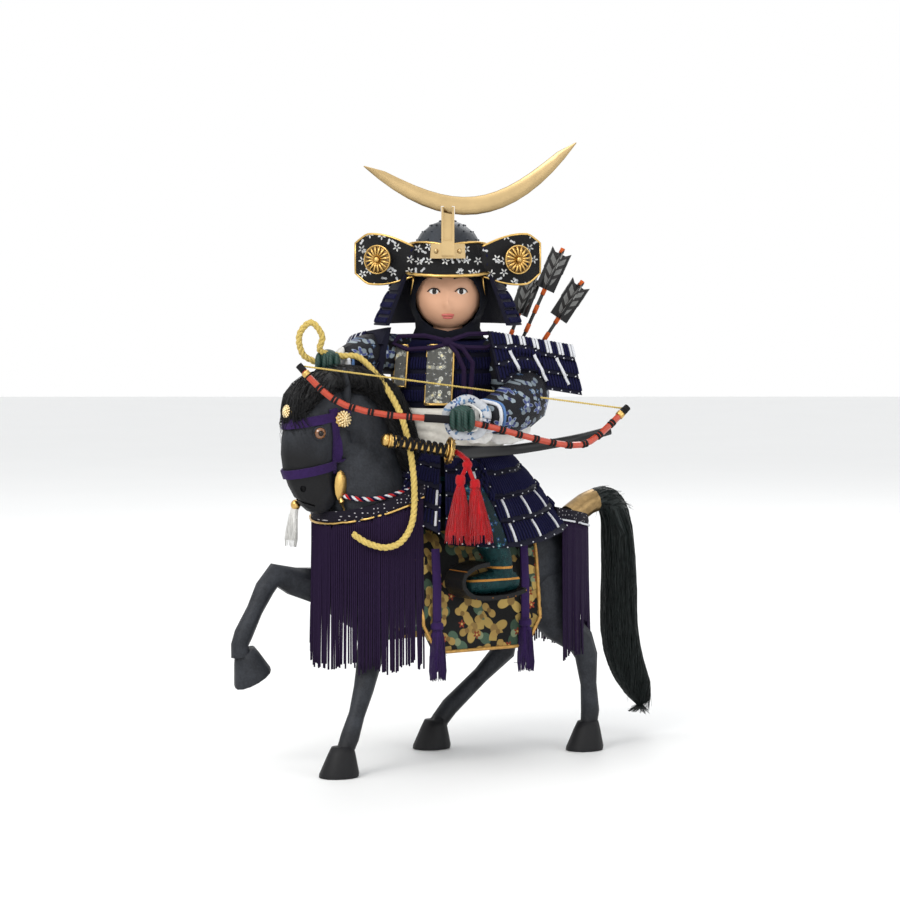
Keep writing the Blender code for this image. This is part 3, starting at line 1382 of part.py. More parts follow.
def build():
    for old in list(bpy.data.objects):
        bpy.data.objects.remove(old)
    horse_eye("horse_eye_left", 1)
    horse_eye("horse_eye_right", -1)
    horse_body()
    horse_legs()
    horse_tail()
    horse_mane()
    bridle()
    head_rosettes()
    bit("bit_left", 1)
    bit("bit_right", -1)
    chin_tassel()
    reins()
    breast_and_croup()
    flap("saddle_flap_left", 1)
    flap("saddle_flap_right", -1)
    saddle()
    rider_head()
    bow_and_string()
    torso()
    rider_leg("leg_left", 1)
    rider_leg("leg_right", -1)
    stirrup("stirrup_left", 1)
    stirrup("stirrup_right", -1)
    sash()
    chest_panel("chest_panel_left", -0.0015, 0.246, 0.287, 0.0185)
    chest_panel("chest_panel_right", -0.0280, 0.258, 0.287, 0.0085)
    sword()
    scabbard()
    sleeves()
    fist("hand_left", left_fist_place(), Vector((1, 0.05, -0.12)).normalized())
    fist("hand_right", right_fist_place(), Vector((0.2, 0.3, 1)).normalized())
    hood()
    helmet_bowl()
    helmet_brim()
    crest_holder()
    crescent()
    neck_guard()
    shoulder_guard("shoulder_guard_left", by_rider(0.032, -0.028, 0.297), by_rider(0.090, -0.012, 0.287), Vector((0.16, 0, -0.98)))
    shoulder_guard("shoulder_guard_right", by_rider(-0.060, 0.026, 0.291), by_rider(-0.038, -0.018, 0.298), Vector((-0.10, 0, -0.99)))
    helmet_cord()
    for name in SKIRT_PANELS:
        skirt(name)
    saddle_tassel("saddle_tassel_front", 0.0200, 0.150, 0.100, 0.067)
    saddle_tassel("saddle_tassel_rear", -0.0530, 0.150, 0.098, 0.068)
    sash_tassels()
    quiver()
    settle(PIECES)


build()
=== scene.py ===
import math
import bpy
import numpy as np
from mathutils import Vector, Matrix
from mathutils.bvhtree import BVHTree


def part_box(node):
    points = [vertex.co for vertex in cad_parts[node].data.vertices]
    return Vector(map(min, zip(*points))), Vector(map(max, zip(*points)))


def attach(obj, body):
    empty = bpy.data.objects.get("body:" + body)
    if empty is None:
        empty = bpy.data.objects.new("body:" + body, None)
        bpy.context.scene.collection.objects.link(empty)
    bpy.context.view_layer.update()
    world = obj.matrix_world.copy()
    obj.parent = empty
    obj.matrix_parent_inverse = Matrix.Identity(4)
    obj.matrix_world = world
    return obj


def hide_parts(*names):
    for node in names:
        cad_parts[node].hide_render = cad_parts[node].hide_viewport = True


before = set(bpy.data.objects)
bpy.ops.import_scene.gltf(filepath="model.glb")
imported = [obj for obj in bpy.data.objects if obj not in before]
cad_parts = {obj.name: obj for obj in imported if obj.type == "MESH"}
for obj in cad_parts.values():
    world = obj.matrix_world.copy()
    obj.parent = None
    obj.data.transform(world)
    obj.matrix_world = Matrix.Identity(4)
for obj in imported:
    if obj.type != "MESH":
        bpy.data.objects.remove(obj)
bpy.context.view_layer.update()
print("frame loaded")

# Camera and lights

view = {"place": (-0.0055, -2.333, 0.367), "aim": (0.0013, -0.028, 0.215), "lens": 135, "sensor": 36,
        "clip": 20}


def makeCamera():
    camera = bpy.data.objects.new("camera", bpy.data.cameras.new("camera"))
    bpy.context.scene.collection.objects.link(camera)
    camera.data.lens = view["lens"]
    camera.data.sensor_width = view["sensor"]
    camera.location = view["place"]
    aim = Vector(view["aim"]) - camera.location
    camera.rotation_euler = aim.to_track_quat("-Z", "Y").to_euler()
    camera.data.clip_end = view["clip"]
    bpy.context.scene.camera = camera


def softLight(name, place, size, power, tint):
    lamp = bpy.data.lights.new(name, "AREA")
    lamp.shape = "RECTANGLE"
    lamp.size = lamp.size_y = size
    lamp.energy = power
    lamp.color = tint
    holder = bpy.data.objects.new(name, lamp)
    bpy.context.scene.collection.objects.link(holder)
    holder.location = place
    holder.rotation_euler = (lightAim - Vector(place)).to_track_quat("-Z", "Y").to_euler()


makeCamera()
lightAim = Vector((0, 0, 0.2))
lights = {
    "key": ((-1.1, -1.6, 1.7), 0.9, 19, (1, 0.985, 0.96)),
    "fill": ((1.7, -1.3, 0.9), 1.3, 9, (0.95, 0.98, 1)),
    "back": ((0.4, 1.5, 1.6), 1.2, 12, (1, 1, 1)),
    "front": ((0.1, -2.2, 0.5), 1.1, 4, (1, 1, 1)),
}
skylight = {"strength": 1.4, "spread": 1.4, "from": (-0.35, -0.5, 1.0)}


def makeSkylight():
    lamp = bpy.data.lights.new("skylight", "SUN")
    lamp.energy, lamp.angle = skylight["strength"], skylight["spread"]
    holder = bpy.data.objects.new("skylight", lamp)
    bpy.context.scene.collection.objects.link(holder)
    holder.rotation_euler = Vector(skylight["from"]).to_track_quat("Z", "Y").to_euler()


makeSkylight()
for lightName, lamp in lights.items():
    softLight(lightName, *lamp)

# Nodes


def feed(tree, made, inputs):
    # sockets are linked, and other values are set
    for key, value in inputs.items():
        if isinstance(value, bpy.types.NodeSocket):
            tree.links.new(value, made.inputs[key])
        else:
            made.inputs[key].default_value = value
    return made


def add(tree, kind, inputs=None, **settings):
    made = tree.nodes.new("ShaderNode" + kind)
    for key, value in settings.items():
        setattr(made, key, value)
    return feed(tree, made, inputs or {})


def maths(tree, operation, *values, clamp=False):
    return add(tree, "Math", dict(enumerate(values)), operation=operation, use_clamp=clamp).outputs[0]


backdrop = {"dim": 0.56, "dimTint": (0.95, 0.97, 1, 1), "bright": 1.0, "brightTint": (1, 1, 1, 1)}


def makeWorld():
    # white where the camera or a reflection sees it, dimmer where it lights the doll
    world = bpy.data.worlds.new("studio")
    bpy.context.scene.world = world
    world.use_nodes = True
    tree = world.node_tree
    tree.nodes.clear()
    seen = add(tree, "LightPath").outputs
    either = maths(tree, "MAXIMUM", seen["Is Camera Ray"], seen["Is Glossy Ray"])
    either = maths(tree, "MAXIMUM", either, seen["Is Transmission Ray"])
    dim, bright = (add(tree, "Background", {"Color": backdrop[name + "Tint"], "Strength": backdrop[name]})
                   for name in ("dim", "bright"))
    both = add(tree, "MixShader", {0: either, 1: dim.outputs[0], 2: bright.outputs[0]})
    add(tree, "OutputWorld", {"Surface": both.outputs[0]})


makeWorld()
bpy.context.scene.view_settings.view_transform = "Standard"

# Shared shader parts


def makeGroup(name, inputs, outputs):
    group = bpy.data.node_groups.new(name, "ShaderNodeTree")
    for socket, kind, value in inputs:
        made = group.interface.new_socket(socket, in_out="INPUT", socket_type="NodeSocket" + kind)
        if value is not None:
            made.default_value = value
    for socket, kind in outputs:
        group.interface.new_socket(socket, in_out="OUTPUT", socket_type="NodeSocket" + kind)
    return group, group.nodes.new("NodeGroupInput"), group.nodes.new("NodeGroupOutput")


motifShape = {"randomness": 0.65, "sharpness": 1.9, "edge": 30.0}


def makeMotif():
    # flowers and leaves: one to a cell, turned at random, with lobes from a rose curve
    group, given, out = makeGroup(
        "scatteredMotif",
        [("Vector", "Vector", None), ("Scale", "Float", 100.0), ("Lobes", "Float", 2.5),
         ("Size", "Float", 0.35), ("Waist", "Float", 0.5), ("Heart", "Float", 0.1)],
        [("Mask", "Float"), ("Heart", "Float"), ("Chance", "Color")])
    given = given.outputs
    cells = add(group, "TexVoronoi", {"Vector": given["Vector"], "Scale": given["Scale"],
                                      "Randomness": motifShape["randomness"]},
                voronoi_dimensions="2D").outputs
    away = add(group, "VectorMath", {0: given["Vector"], 1: cells["Position"]}, operation="SUBTRACT")
    away = add(group, "VectorMath", {0: away.outputs[0], "Scale": given["Scale"]}, operation="SCALE")
    parts = add(group, "SeparateXYZ", {0: away.outputs[0]}).outputs
    chance = add(group, "SeparateColor", {0: cells["Color"]}).outputs[0]
    turned = maths(group, "MULTIPLY_ADD", chance, 6.28, maths(group, "ARCTAN2", parts[1], parts[0]))
    wave = maths(group, "COSINE", maths(group, "MULTIPLY", turned, given["Lobes"]))
    wave = maths(group, "POWER", maths(group, "ABSOLUTE", wave), motifShape["sharpness"])
    reach = add(group, "Mix", {0: given["Waist"], 2: wave, 3: 1.0}, data_type="FLOAT").outputs[0]
    reach = maths(group, "MULTIPLY", reach, given["Size"])
    for mask, edge in (("Mask", reach), ("Heart", given["Heart"])):
        gap = maths(group, "SUBTRACT", edge, cells["Distance"])
        feed(group, out, {mask: maths(group, "MULTIPLY", gap, motifShape["edge"], clamp=True)})
    feed(group, out, {"Chance": cells["Color"]})
    return group


weaveShape = {"turn": (0, 1.57, 0.2), "slub": 420.0, "slubShare": 0.9, "height": 0.0004}


def makeWeave():
    # fine crossing threads as a bump, with a little slub
    group, given, out = makeGroup(
        "weave", [("Vector", "Vector", None), ("Threads", "Float", 2200.0), ("Depth", "Float", 0.3)],
        [("Normal", "Vector"), ("Slub", "Float")])
    given = given.outputs
    turned = add(group, "Mapping", {"Vector": given["Vector"], "Rotation": weaveShape["turn"]}).outputs[0]
    first, second = (add(group, "TexWave", {"Vector": place, "Scale": given["Threads"]},
                         bands_direction="DIAGONAL").outputs["Fac"] for place in (given["Vector"], turned))
    slub = add(group, "TexNoise", {"Vector": given["Vector"], "Scale": weaveShape["slub"],
                                   "Detail": 3.0}).outputs["Fac"]
    crossed = maths(group, "MULTIPLY", first, second)
    both = maths(group, "MULTIPLY_ADD", slub, weaveShape["slubShare"], crossed)
    bump = add(group, "Bump", {"Strength": given["Depth"], "Distance": weaveShape["height"], "Height": both})
    feed(group, out, {"Normal": bump.outputs[0], "Slub": slub})
    return group


motifGroup = makeMotif()
weaveGroup = makeWeave()


def grouped(tree, group, inputs):
    made = tree.nodes.new("ShaderNodeGroup")
    made.node_tree = group
    return feed(tree, made, inputs).outputs


def blankMaterial(name):
    material = bpy.data.materials.new(name)
    material.use_nodes = True
    tree = material.node_tree
    tree.nodes.clear()
    main = add(tree, "BsdfPrincipled")
    add(tree, "OutputMaterial", {"Surface": main.outputs[0]})
    return material, tree, main, add(tree, "TexCoord").outputs["Object"]


def darker(colour, share):
    return tuple(part * share for part in colour)


def mixed(tree, mask, first, second):
    tones = {slot: tone if isinstance(tone, bpy.types.NodeSocket) else (*tone[:3], 1)
             for slot, tone in ((6, first), (7, second))}
    return add(tree, "Mix", {0: mask, **tones}, data_type="RGBA").outputs[2]


def mottled(tree, place, dark, light, scale, detail=4.0, low=0.35, high=0.65):
    noise = add(tree, "TexNoise", {"Vector": place, "Scale": scale, "Detail": detail, "Roughness": 0.6})
    span = add(tree, "MapRange", {0: noise.outputs["Fac"], 1: low, 2: high})
    return mixed(tree, span.outputs[0], dark, light)


def grained(tree, place, scale, detail, strength, height):
    noise = add(tree, "TexNoise", {"Vector": place, "Scale": scale, "Detail": detail}).outputs["Fac"]
    return add(tree, "Bump", {"Strength": strength, "Distance": height, "Height": noise}).outputs[0]


def clothMaterial(name, colour, roughness=0.8, threads=2200.0, depth=0.35, sheen=0.15, shade=0.75):
    material, tree, main, place = blankMaterial(name)
    weave = grouped(tree, weaveGroup, {"Vector": place, "Threads": threads, "Depth": depth})
    light = tuple(min(1, part * 1.12) for part in colour)
    feed(tree, main, {"Base Color": mixed(tree, weave["Slub"], darker(colour, shade), light),
                      "Normal": weave["Normal"], "Roughness": roughness, "Specular IOR Level": 0.12,
                      "Sheen Weight": sheen * 0.5, "Sheen Roughness": 0.4})
    return material


def plainMaterial(name, colour, roughness=0.4, metallic=0.0, bump=0.15, scale=600.0, shade=0.85, coat=0.0):
    material, tree, main, place = blankMaterial(name)
    feed(tree, main, {"Base Color": mottled(tree, place, darker(colour, shade), colour, scale * 0.3),
                      "Normal": grained(tree, place, scale, 3.0, bump, 0.0003), "Roughness": roughness,
                      "Metallic": metallic, "Coat Weight": coat, "Coat Roughness": 0.08,
                      "Specular IOR Level": 0.5 if metallic or coat > 0.5 else 0.22})
    return material


def flatPlace(tree, place, across, shift):
    # the two coordinates of a pattern that lies in one upright plane
    one, two = (add(tree, "VectorMath", {0: place, 1: way}, operation="DOT_PRODUCT").outputs["Value"]
                for way in (across, (0, 0, 1)))
    both = add(tree, "CombineXYZ", {0: one, 1: two}).outputs[0]
    return add(tree, "VectorMath", {0: both, 1: shift}, operation="ADD").outputs[0]


def brocadeMaterial(name, ground, layers, across=(0.9, 0.44, 0), roughness=0.55, threads=2600.0, metal=0.0):
    # scattered motifs over a woven ground; a layer is its colour, heart colour, scale,
    # lobes, size, waist and the share of its motifs that show
    material, tree, main, place = blankMaterial(name)
    weave = grouped(tree, weaveGroup, {"Vector": place, "Threads": threads, "Depth": 0.4})
    shown = mixed(tree, weave["Slub"], darker(ground, 0.6), ground)
    glint = None
    for colour, heart, scale, lobes, size, waist, share in layers:
        step = scale // 30
        spot = flatPlace(tree, place, across, (0.37 * step, 0.11 * step, 0))
        motif = grouped(tree, motifGroup, {"Vector": spot, "Scale": scale, "Lobes": lobes, "Size": size,
                                           "Waist": waist, "Heart": size * 0.3})
        chance = add(tree, "SeparateColor", {0: motif["Chance"]}).outputs
        kept = maths(tree, "LESS_THAN", chance[1], share)
        mask, core = (maths(tree, "MULTIPLY", kept, motif[part]) for part in ("Mask", "Heart"))
        tone = mixed(tree, chance[2], darker(colour, 0.55), colour)
        shown = mixed(tree, core, mixed(tree, mask, shown, tone), heart)
        glint = mask if glint is None else maths(tree, "MAXIMUM", glint, mask)
    rough = add(tree, "MapRange", {0: glint, 1: 0.0, 2: 1.0, 3: roughness, 4: roughness * 0.6}).outputs[0]
    feed(tree, main, {"Base Color": shown, "Normal": weave["Normal"], "Roughness": rough,
                      "Specular IOR Level": 0.15, "Metallic": maths(tree, "MULTIPLY", glint, metal)})
    return material


horseCoat = {"dark": (0.009, 0.010, 0.013), "light": (0.030, 0.033, 0.040), "black": (0.006, 0.006, 0.007),
             "muzzle": (0.036, 0.020), "hooves": (0.034, 0.018)}


def coatMaterial():
    # brushed charcoal paint, darker at the muzzle and down the legs
    material, tree, main, place = blankMaterial("horse_coat")
    dark, light, black = (horseCoat[tone] for tone in ("dark", "light", "black"))
    shown = mottled(tree, place, dark, light, 90, 6.0)
    shown = mixed(tree, 0.35, shown, mottled(tree, place, dark, light, 700, 3.0))
    spots = [vertex.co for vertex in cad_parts["horse_body"].data.vertices if vertex.co.z > 0.15]
    foremost = min(spots, key=lambda spot: 0.819 * spot.x + 0.574 * spot.y + 0.6 * spot.z)
    near = add(tree, "VectorMath", {0: place, 1: tuple(foremost)}, operation="DISTANCE").outputs["Value"]
    height = add(tree, "SeparateXYZ", {0: place}).outputs[2]
    for measure, (start, full) in ((near, horseCoat["muzzle"]), (height, horseCoat["hooves"])):
        mask = add(tree, "MapRange", {0: measure, 1: start, 2: full}).outputs[0]
        shown = mixed(tree, mask, shown, black)
    feed(tree, main, {"Base Color": shown, "Normal": grained(tree, place, 500.0, 5.0, 0.35, 0.0004),
                      "Roughness": 0.55, "Specular IOR Level": 0.22})
    return material


def bandedMaterial(name, base, band, axis, pitch, share, roughness, mapped=False):
    # bands across one axis, in the piece's own place or map
    material, tree, main, place = blankMaterial(name)
    if mapped:
        place = add(tree, "UVMap", uv_map="map").outputs[0]
    along = add(tree, "VectorMath", {0: place, 1: axis}, operation="DOT_PRODUCT").outputs["Value"]
    part = maths(tree, "FRACT", maths(tree, "DIVIDE", along, pitch))
    ground = mottled(tree, place, darker(base, 0.7), base, 200)
    shown = mixed(tree, maths(tree, "LESS_THAN", part, share), ground, band)
    feed(tree, main, {"Base Color": shown, "Roughness": roughness})
    return material


tones = {
    "gold": (0.62, 0.40, 0.13), "paleGold": (0.47, 0.34, 0.17), "purple": (0.030, 0.012, 0.072),
    "plum": (0.016, 0.007, 0.030), "white": (0.74, 0.73, 0.70), "black": (0.008, 0.008, 0.009),
    "red": (0.48, 0.010, 0.015), "vermilion": (0.45, 0.043, 0.012), "skin": (0.68, 0.38, 0.24),
}
looks = {
    "coat": coatMaterial(),
    "gold": plainMaterial("gold_metal", tones["gold"], 0.28, 1.0, 0.35, 900.0),
    "paleGold": plainMaterial("crest_gold", tones["paleGold"], 0.36, 1.0, 0.02, 120.0, 0.85),
    "purple": clothMaterial("purple_band", tones["purple"], 0.75),
    "plum": clothMaterial("plum_string", tones["plum"], 0.75, 3000.0, 0.3, 0.05),
    "navyLace": clothMaterial("navy_lace", (0.006, 0.006, 0.038), 0.7, 3200.0, 0.5, 0.04),
    "whiteLace": clothMaterial("white_lace", (0.74, 0.75, 0.78), 0.75, 3200.0, 0.5, 0.2, 0.85),
    "white": clothMaterial("white_crepe", tones["white"], 0.8, 1800.0, 0.45, 0.2, 0.86),
    "rope": clothMaterial("gold_rope", (0.74, 0.55, 0.16), 0.5, 3000.0, 0.4, 0.2, 0.6),
    "hair": plainMaterial("black_hair", (0.012, 0.012, 0.013), 0.42, 0.0, 0.3, 900.0, 0.5),
    "tailHair": plainMaterial("tail_hair", (0.014, 0.020, 0.019), 0.38, 0.0, 0.3, 900.0, 0.5),
    "lacquer": plainMaterial("black_lacquer", tones["black"], 0.28, 0.0, 0.03, 300.0, 0.9, 0.15),
    "bowl": plainMaterial("dark_iron", (0.022, 0.028, 0.038), 0.42, 0.4, 0.25, 800.0, 0.7),
    "red": clothMaterial("red_silk", tones["red"], 0.6, 3000.0, 0.4, 0.4),
    "glove": bandedMaterial("ribbed_glove", (0.006, 0.050, 0.036), (0.002, 0.012, 0.010), (0.6, 0.2, 0.78),
                            0.0016, 0.35, 0.6),
    "vermilion": plainMaterial("bow_lacquer", tones["vermilion"], 0.28, 0.0, 0.03, 300.0, 0.85, 0.4),
    "amber": plainMaterial("horse_eye", (0.24, 0.085, 0.02), 0.08, 0.0, 0.0, 300.0, 0.6, 1.0),
    "skin": plainMaterial("face_skin", tones["skin"], 0.42, 0.0, 0.03, 300.0, 0.97, 0.1),
    "lacing": clothMaterial("armour_ground", (0.006, 0.006, 0.016), 0.6, 2600.0, 0.3, 0.02),
    "silver": brocadeMaterial("silver_brocade", (0.12, 0.12, 0.11), [
        ((0.42, 0.42, 0.37), (0.50, 0.46, 0.30), 130.0, 1.0, 0.48, 0.14, 0.9),
        ((0.16, 0.17, 0.18), (0.55, 0.52, 0.42), 260.0, 1.5, 0.36, 0.25, 0.6)],
        (1, 0.1, 0), 0.45, 3000.0, 0.5),
    "sleeve": brocadeMaterial("sleeve_brocade", (0.012, 0.012, 0.016), [
        ((0.34, 0.40, 0.48), (0.34, 0.40, 0.48), 84.0, 2.5, 0.46, 0.42, 0.50),
        ((0.055, 0.075, 0.26), (0.50, 0.56, 0.62), 84.0, 2.5, 0.40, 0.38, 0.50),
        ((0.30, 0.36, 0.40), (0.04, 0.05, 0.14), 110.0, 1.0, 0.48, 0.10, 0.60),
        ((0.05, 0.12, 0.26), (0.40, 0.46, 0.50), 170.0, 2.0, 0.32, 0.3, 0.35)],
        (0.8, 0.6, 0), 0.5, 3000.0, 0.3),
    "flap": brocadeMaterial("flap_brocade", (0.008, 0.008, 0.008), [
        ((0.07, 0.12, 0.08), (0.20, 0.24, 0.14), 52.0, 1.0, 0.52, 0.10, 0.70),
        ((0.54, 0.37, 0.11), (0.24, 0.15, 0.05), 46.0, 1.5, 0.54, 0.08, 0.75),
        ((0.46, 0.30, 0.09), (0.20, 0.12, 0.04), 78.0, 1.0, 0.52, 0.06, 0.60),
        ((0.30, 0.05, 0.025), (0.54, 0.37, 0.11), 110.0, 2.5, 0.34, 0.45, 0.22)],
        (0.82, 0.57, 0), 0.6, 3000.0, 0.25),
    "thigh": brocadeMaterial("thigh_brocade", (0.003, 0.018, 0.022), [
        ((0.03, 0.16, 0.19), (0.20, 0.32, 0.32), 150.0, 2.5, 0.38, 0.4, 0.5),
        ((0.02, 0.07, 0.20), (0.14, 0.22, 0.26), 190.0, 2.0, 0.34, 0.3, 0.5)],
        (0.8, 0.6, 0), 0.45, 3000.0, 0.4),
    "brim": brocadeMaterial("brim_lacquer", (0.005, 0.005, 0.006), [
        ((0.74, 0.74, 0.71), (0.03, 0.03, 0.04), 120.0, 2.5, 0.36, 0.10, 0.48),
        ((0.60, 0.61, 0.62), (0.60, 0.61, 0.62), 160.0, 1.0, 0.34, 0.10, 0.35)], (1, 0, 0), 0.35, 3000.0),
    "band": brocadeMaterial("dotted_band", (0.008, 0.006, 0.014), [
        ((0.50, 0.48, 0.50), (0.50, 0.48, 0.50), 340.0, 0.0, 0.15, 1.0, 0.8)], (0.8, 0.6, 0), 0.7, 3000.0),
    "hood": clothMaterial("hood_cloth", (0.008, 0.009, 0.015), 0.75, 2400.0, 0.3, 0.03),
    "stirrup": brocadeMaterial("stirrup_lacquer", (0.009, 0.009, 0.009), [
        ((0.50, 0.48, 0.44), (0.50, 0.16, 0.04), 150.0, 2.5, 0.28, 0.5, 0.22),
        ((0.42, 0.16, 0.03), (0.42, 0.16, 0.03), 260.0, 0.0, 0.12, 1.0, 0.3)], (0.82, 0.57, 0), 0.3, 3000.0),
    "eyeWhite": plainMaterial("eye_white", (0.80, 0.79, 0.76), 0.25, 0.0, 0.0, 300.0, 0.97, 0.5),
    "iris": plainMaterial("eye_dark", (0.012, 0.007, 0.005), 0.25, 0.0, 0.0, 300.0, 0.7, 0.15),
    "brow": plainMaterial("brow_paint", (0.020, 0.014, 0.012), 0.6, 0.0, 0.0, 600.0),
    "lip": plainMaterial("lip_paint", (0.52, 0.13, 0.11), 0.4, 0.0, 0.02, 400.0, 0.9, 0.2),
    "orange": plainMaterial("gold_orange_trim", (0.55, 0.30, 0.07), 0.45, 0.4, 0.3, 1200.0, 0.6),
    "vane": bandedMaterial("feather", (0.26, 0.26, 0.25), (0.022, 0.020, 0.020), (-0.9, 1.0, 0),
                           0.0072, 0.42, 0.75, mapped=True),
    "rosette": plainMaterial("pale_gold_metal", (0.80, 0.64, 0.36), 0.36, 1.0, 0.2, 900.0, 0.9),
    "cuffCloth": brocadeMaterial("cuff_brocade", (0.62, 0.64, 0.68), [
        ((0.06, 0.10, 0.24), (0.30, 0.40, 0.60), 150.0, 2.5, 0.44, 0.30, 0.6),
        ((0.16, 0.28, 0.46), (0.16, 0.28, 0.46), 190.0, 1.0, 0.42, 0.15, 0.5)],
        (1, 0.1, 0), 0.5, 3000.0, 0.2),
    "sashCloth": clothMaterial("sash_cloth", (0.72, 0.69, 0.62), 0.75, 1800.0, 0.4, 0.2, 0.8),
    "cuffBlue": clothMaterial("cuff_cloth", (0.10, 0.20, 0.42), 0.7, 2400.0),
    "wrap": clothMaterial("black_wrap", (0.010, 0.009, 0.010), 0.6, 2600.0, 0.4, 0.05),
    "shaft": plainMaterial("arrow_shaft", (0.012, 0.010, 0.009), 0.4, 0.0, 0.1, 700.0, 0.7, 0.3),
    "nock": clothMaterial("nock_thread", (0.60, 0.11, 0.02), 0.5, 3000.0),
    "darkGold": plainMaterial("dark_gold", (0.30, 0.20, 0.09), 0.35, 1.0, 0.3, 900.0, 0.7),
}
print("materials made")


ground = {"far": 5.0, "under": -0.0004, "tone": (0.88, 0.88, 0.87)}


def makeFloor():
    mesh = bpy.data.meshes.new("floor")
    corners = [(x * ground["far"], y * ground["far"], ground["under"])
               for x, y in ((-1, -1), (1, -1), (1, 1), (-1, 1))]
    mesh.from_pydata(corners, [], [(0, 1, 2, 3)])
    floor = bpy.data.objects.new("floor", mesh)
    bpy.context.scene.collection.objects.link(floor)
    mesh.materials.append(plainMaterial("floor_paint", ground["tone"], 0.6, 0.0, 0.02, 20.0, 0.99))


makeFloor()

nodeLooks = {
    "coat": ["horse_body", "horse_foreleg_left", "horse_foreleg_right", "horse_hindleg_right",
             "horse_hindleg_left"],
    "amber": ["horse_eye_left", "horse_eye_right"],
    "hair": ["horse_mane"], "tailHair": ["horse_tail"],
    "darkGold": ["tail_sleeve"],
    "gold": ["rosette_front", "rosette_left", "rosette_right", "bit_left", "bit_right", "sword"],
    "paleGold": ["crescent_crest", "crest_holder"],
    "purple": ["bridle", "saddle_tassel_front", "saddle_tassel_rear"],
    "white": ["chin_tassel", "waist_sash"],
    "navyLace": ["rein_braid"],
    "rope": ["rein_cord", "bowstring"],
    "plum": ["breast_fringe", "crupper_fringe", "helmet_cord"],
    "band": ["breast_collar", "crupper_band"],
    "lacquer": ["saddle", "scabbard", "quiver"],
    "stirrup": ["stirrup_left", "stirrup_right"],
    "bowl": ["helmet_bowl"], "brim": ["helmet_brim"],
    "flap": ["saddle_flap_left", "saddle_flap_right"],
    "skin": ["head"], "vermilion": ["bow"],
    "lacing": ["torso_armour", "neck_guard", "skirt_left", "skirt_front", "skirt_back", "skirt_right",
               "shoulder_guard_left", "shoulder_guard_right"],
    "silver": ["chest_panel_left", "chest_panel_right"],
    "sleeve": ["sleeve_left", "sleeve_right"], "hood": ["hood"],
    "glove": ["hand_left", "hand_right"], "thigh": ["leg_left", "leg_right"],
    "red": ["sash_tassels"],
}
boot = {"top": 0.1500, "bands": ((0.1365, 0.0008), (0.1285, 0.0007)), "bandTone": (0.50, 0.22, 0.04),
        "dark": (0.003, 0.020, 0.022), "light": (0.006, 0.040, 0.042)}


def paintBoot():
    # plain dark boot with bound edges under the patterned trousers
    tree = looks["thigh"].node_tree
    main = next(node for node in tree.nodes if node.type == "BSDF_PRINCIPLED")
    shown = main.inputs["Base Color"].links[0].from_socket
    place = next(node for node in tree.nodes if node.type == "TEX_COORD").outputs["Object"]
    height = add(tree, "SeparateXYZ", {0: place}).outputs[2]
    low = maths(tree, "LESS_THAN", height, boot["top"])
    shown = mixed(tree, low, shown, mottled(tree, place, boot["dark"], boot["light"], 300))
    for up, half in boot["bands"]:
        shown = mixed(tree, maths(tree, "COMPARE", height, up, half), shown, boot["bandTone"])
    feed(tree, main, {"Base Color": shown})


paintBoot()
for look, names in nodeLooks.items():
    for nodeName in names:
        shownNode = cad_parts[nodeName]
        shownNode.data.materials.clear()
        shownNode.data.materials.append(looks[look])
print("CAD nodes painted")

# Shapes

heading = math.radians(35)
horseSpot = (-0.0175, -0.0110)
riderSpot = (-0.0052, -0.0022)
headMiddle = Vector((-0.0002, -0.0102, 0.322))
random = np.random.default_rng(7)


def aheadOf(ahead, left, up):
    east = -math.cos(heading) * ahead + math.sin(heading) * left
    north = -math.sin(heading) * ahead - math.cos(heading) * left
    return Vector((horseSpot[0] + east, horseSpot[1] + north, up))


def byRider(east, north, up):
    return Vector((riderSpot[0] + east, riderSpot[1] + north, up))


def roundHead(bearing, reach, up):
    turn = math.radians(bearing)
    return headMiddle + Vector((math.sin(turn) * reach, -math.cos(turn) * reach, up))


leftward = aheadOf(0, 1, 0) - aheadOf(0, 0, 0)
forward = aheadOf(1, 0, 0) - aheadOf(0, 0, 0)
upward = Vector((0, 0, 1))
waistMiddle = (-0.0022, -0.0022)
fists = {"left": byRider(0.0145, -0.0860, 0.2400), "right": byRider(-0.0765, -0.0400, 0.2755)}


def acrossFrom(facing):
    # two directions at right angles to facing
    first = facing.orthogonal().normalized()
    return first, facing.cross(first)


def circle(centre, first, second, reach, count):
    turns = [2 * math.pi * k / count for k in range(count + 1)]
    return [centre + (first * math.cos(turn) + second * math.sin(turn)) * reach for turn in turns]


def middleOf(node):
    low, high = (Vector(corner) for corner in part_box(node))
    return (low + high) / 2


def aimed(way):
    return way.to_track_quat("Z", "Y").to_matrix()


def surfaceOf(*names):
    points, faces = [], []
    for name in names:
        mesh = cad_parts[name].data
        start = len(points)
        points += [vertex.co.copy() for vertex in mesh.vertices]
        faces += [[start + index for index in face.vertices] for face in mesh.polygons]
    return BVHTree.FromPolygons(points, faces)


def makeObject(name, points, faces, materials, picks=None, smooth=True, body="root"):
    mesh = bpy.data.meshes.new(name)
    mesh.from_pydata([tuple(map(float, point)) for point in points], [], faces)
    for material in materials:
        mesh.materials.append(material)
    if picks is not None:
        mesh.polygons.foreach_set("material_index", picks)
    mesh.polygons.foreach_set("use_smooth", [smooth] * len(mesh.polygons))
    made = bpy.data.objects.new(name, mesh)
    bpy.context.scene.collection.objects.link(made)
    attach(made, body)
    return made


def curveThrough(points, steps=4):
    # smooth curve through every point
    points = [Vector(point) for point in points]
    ends = [2 * points[0] - points[1], *points, 2 * points[-1] - points[-2]]
    made = []
    for before, first, second, after in zip(ends, ends[1:], ends[2:], ends[3:]):
        for step in range(steps):
            t = step / steps
            bend = 2 * before - 5 * first + 4 * second - after
            twist = 3 * first - before - 3 * second + after
            made.append(0.5 * (2 * first + (second - before) * t + bend * t * t + twist * t ** 3))
    return made + [points[-1]]


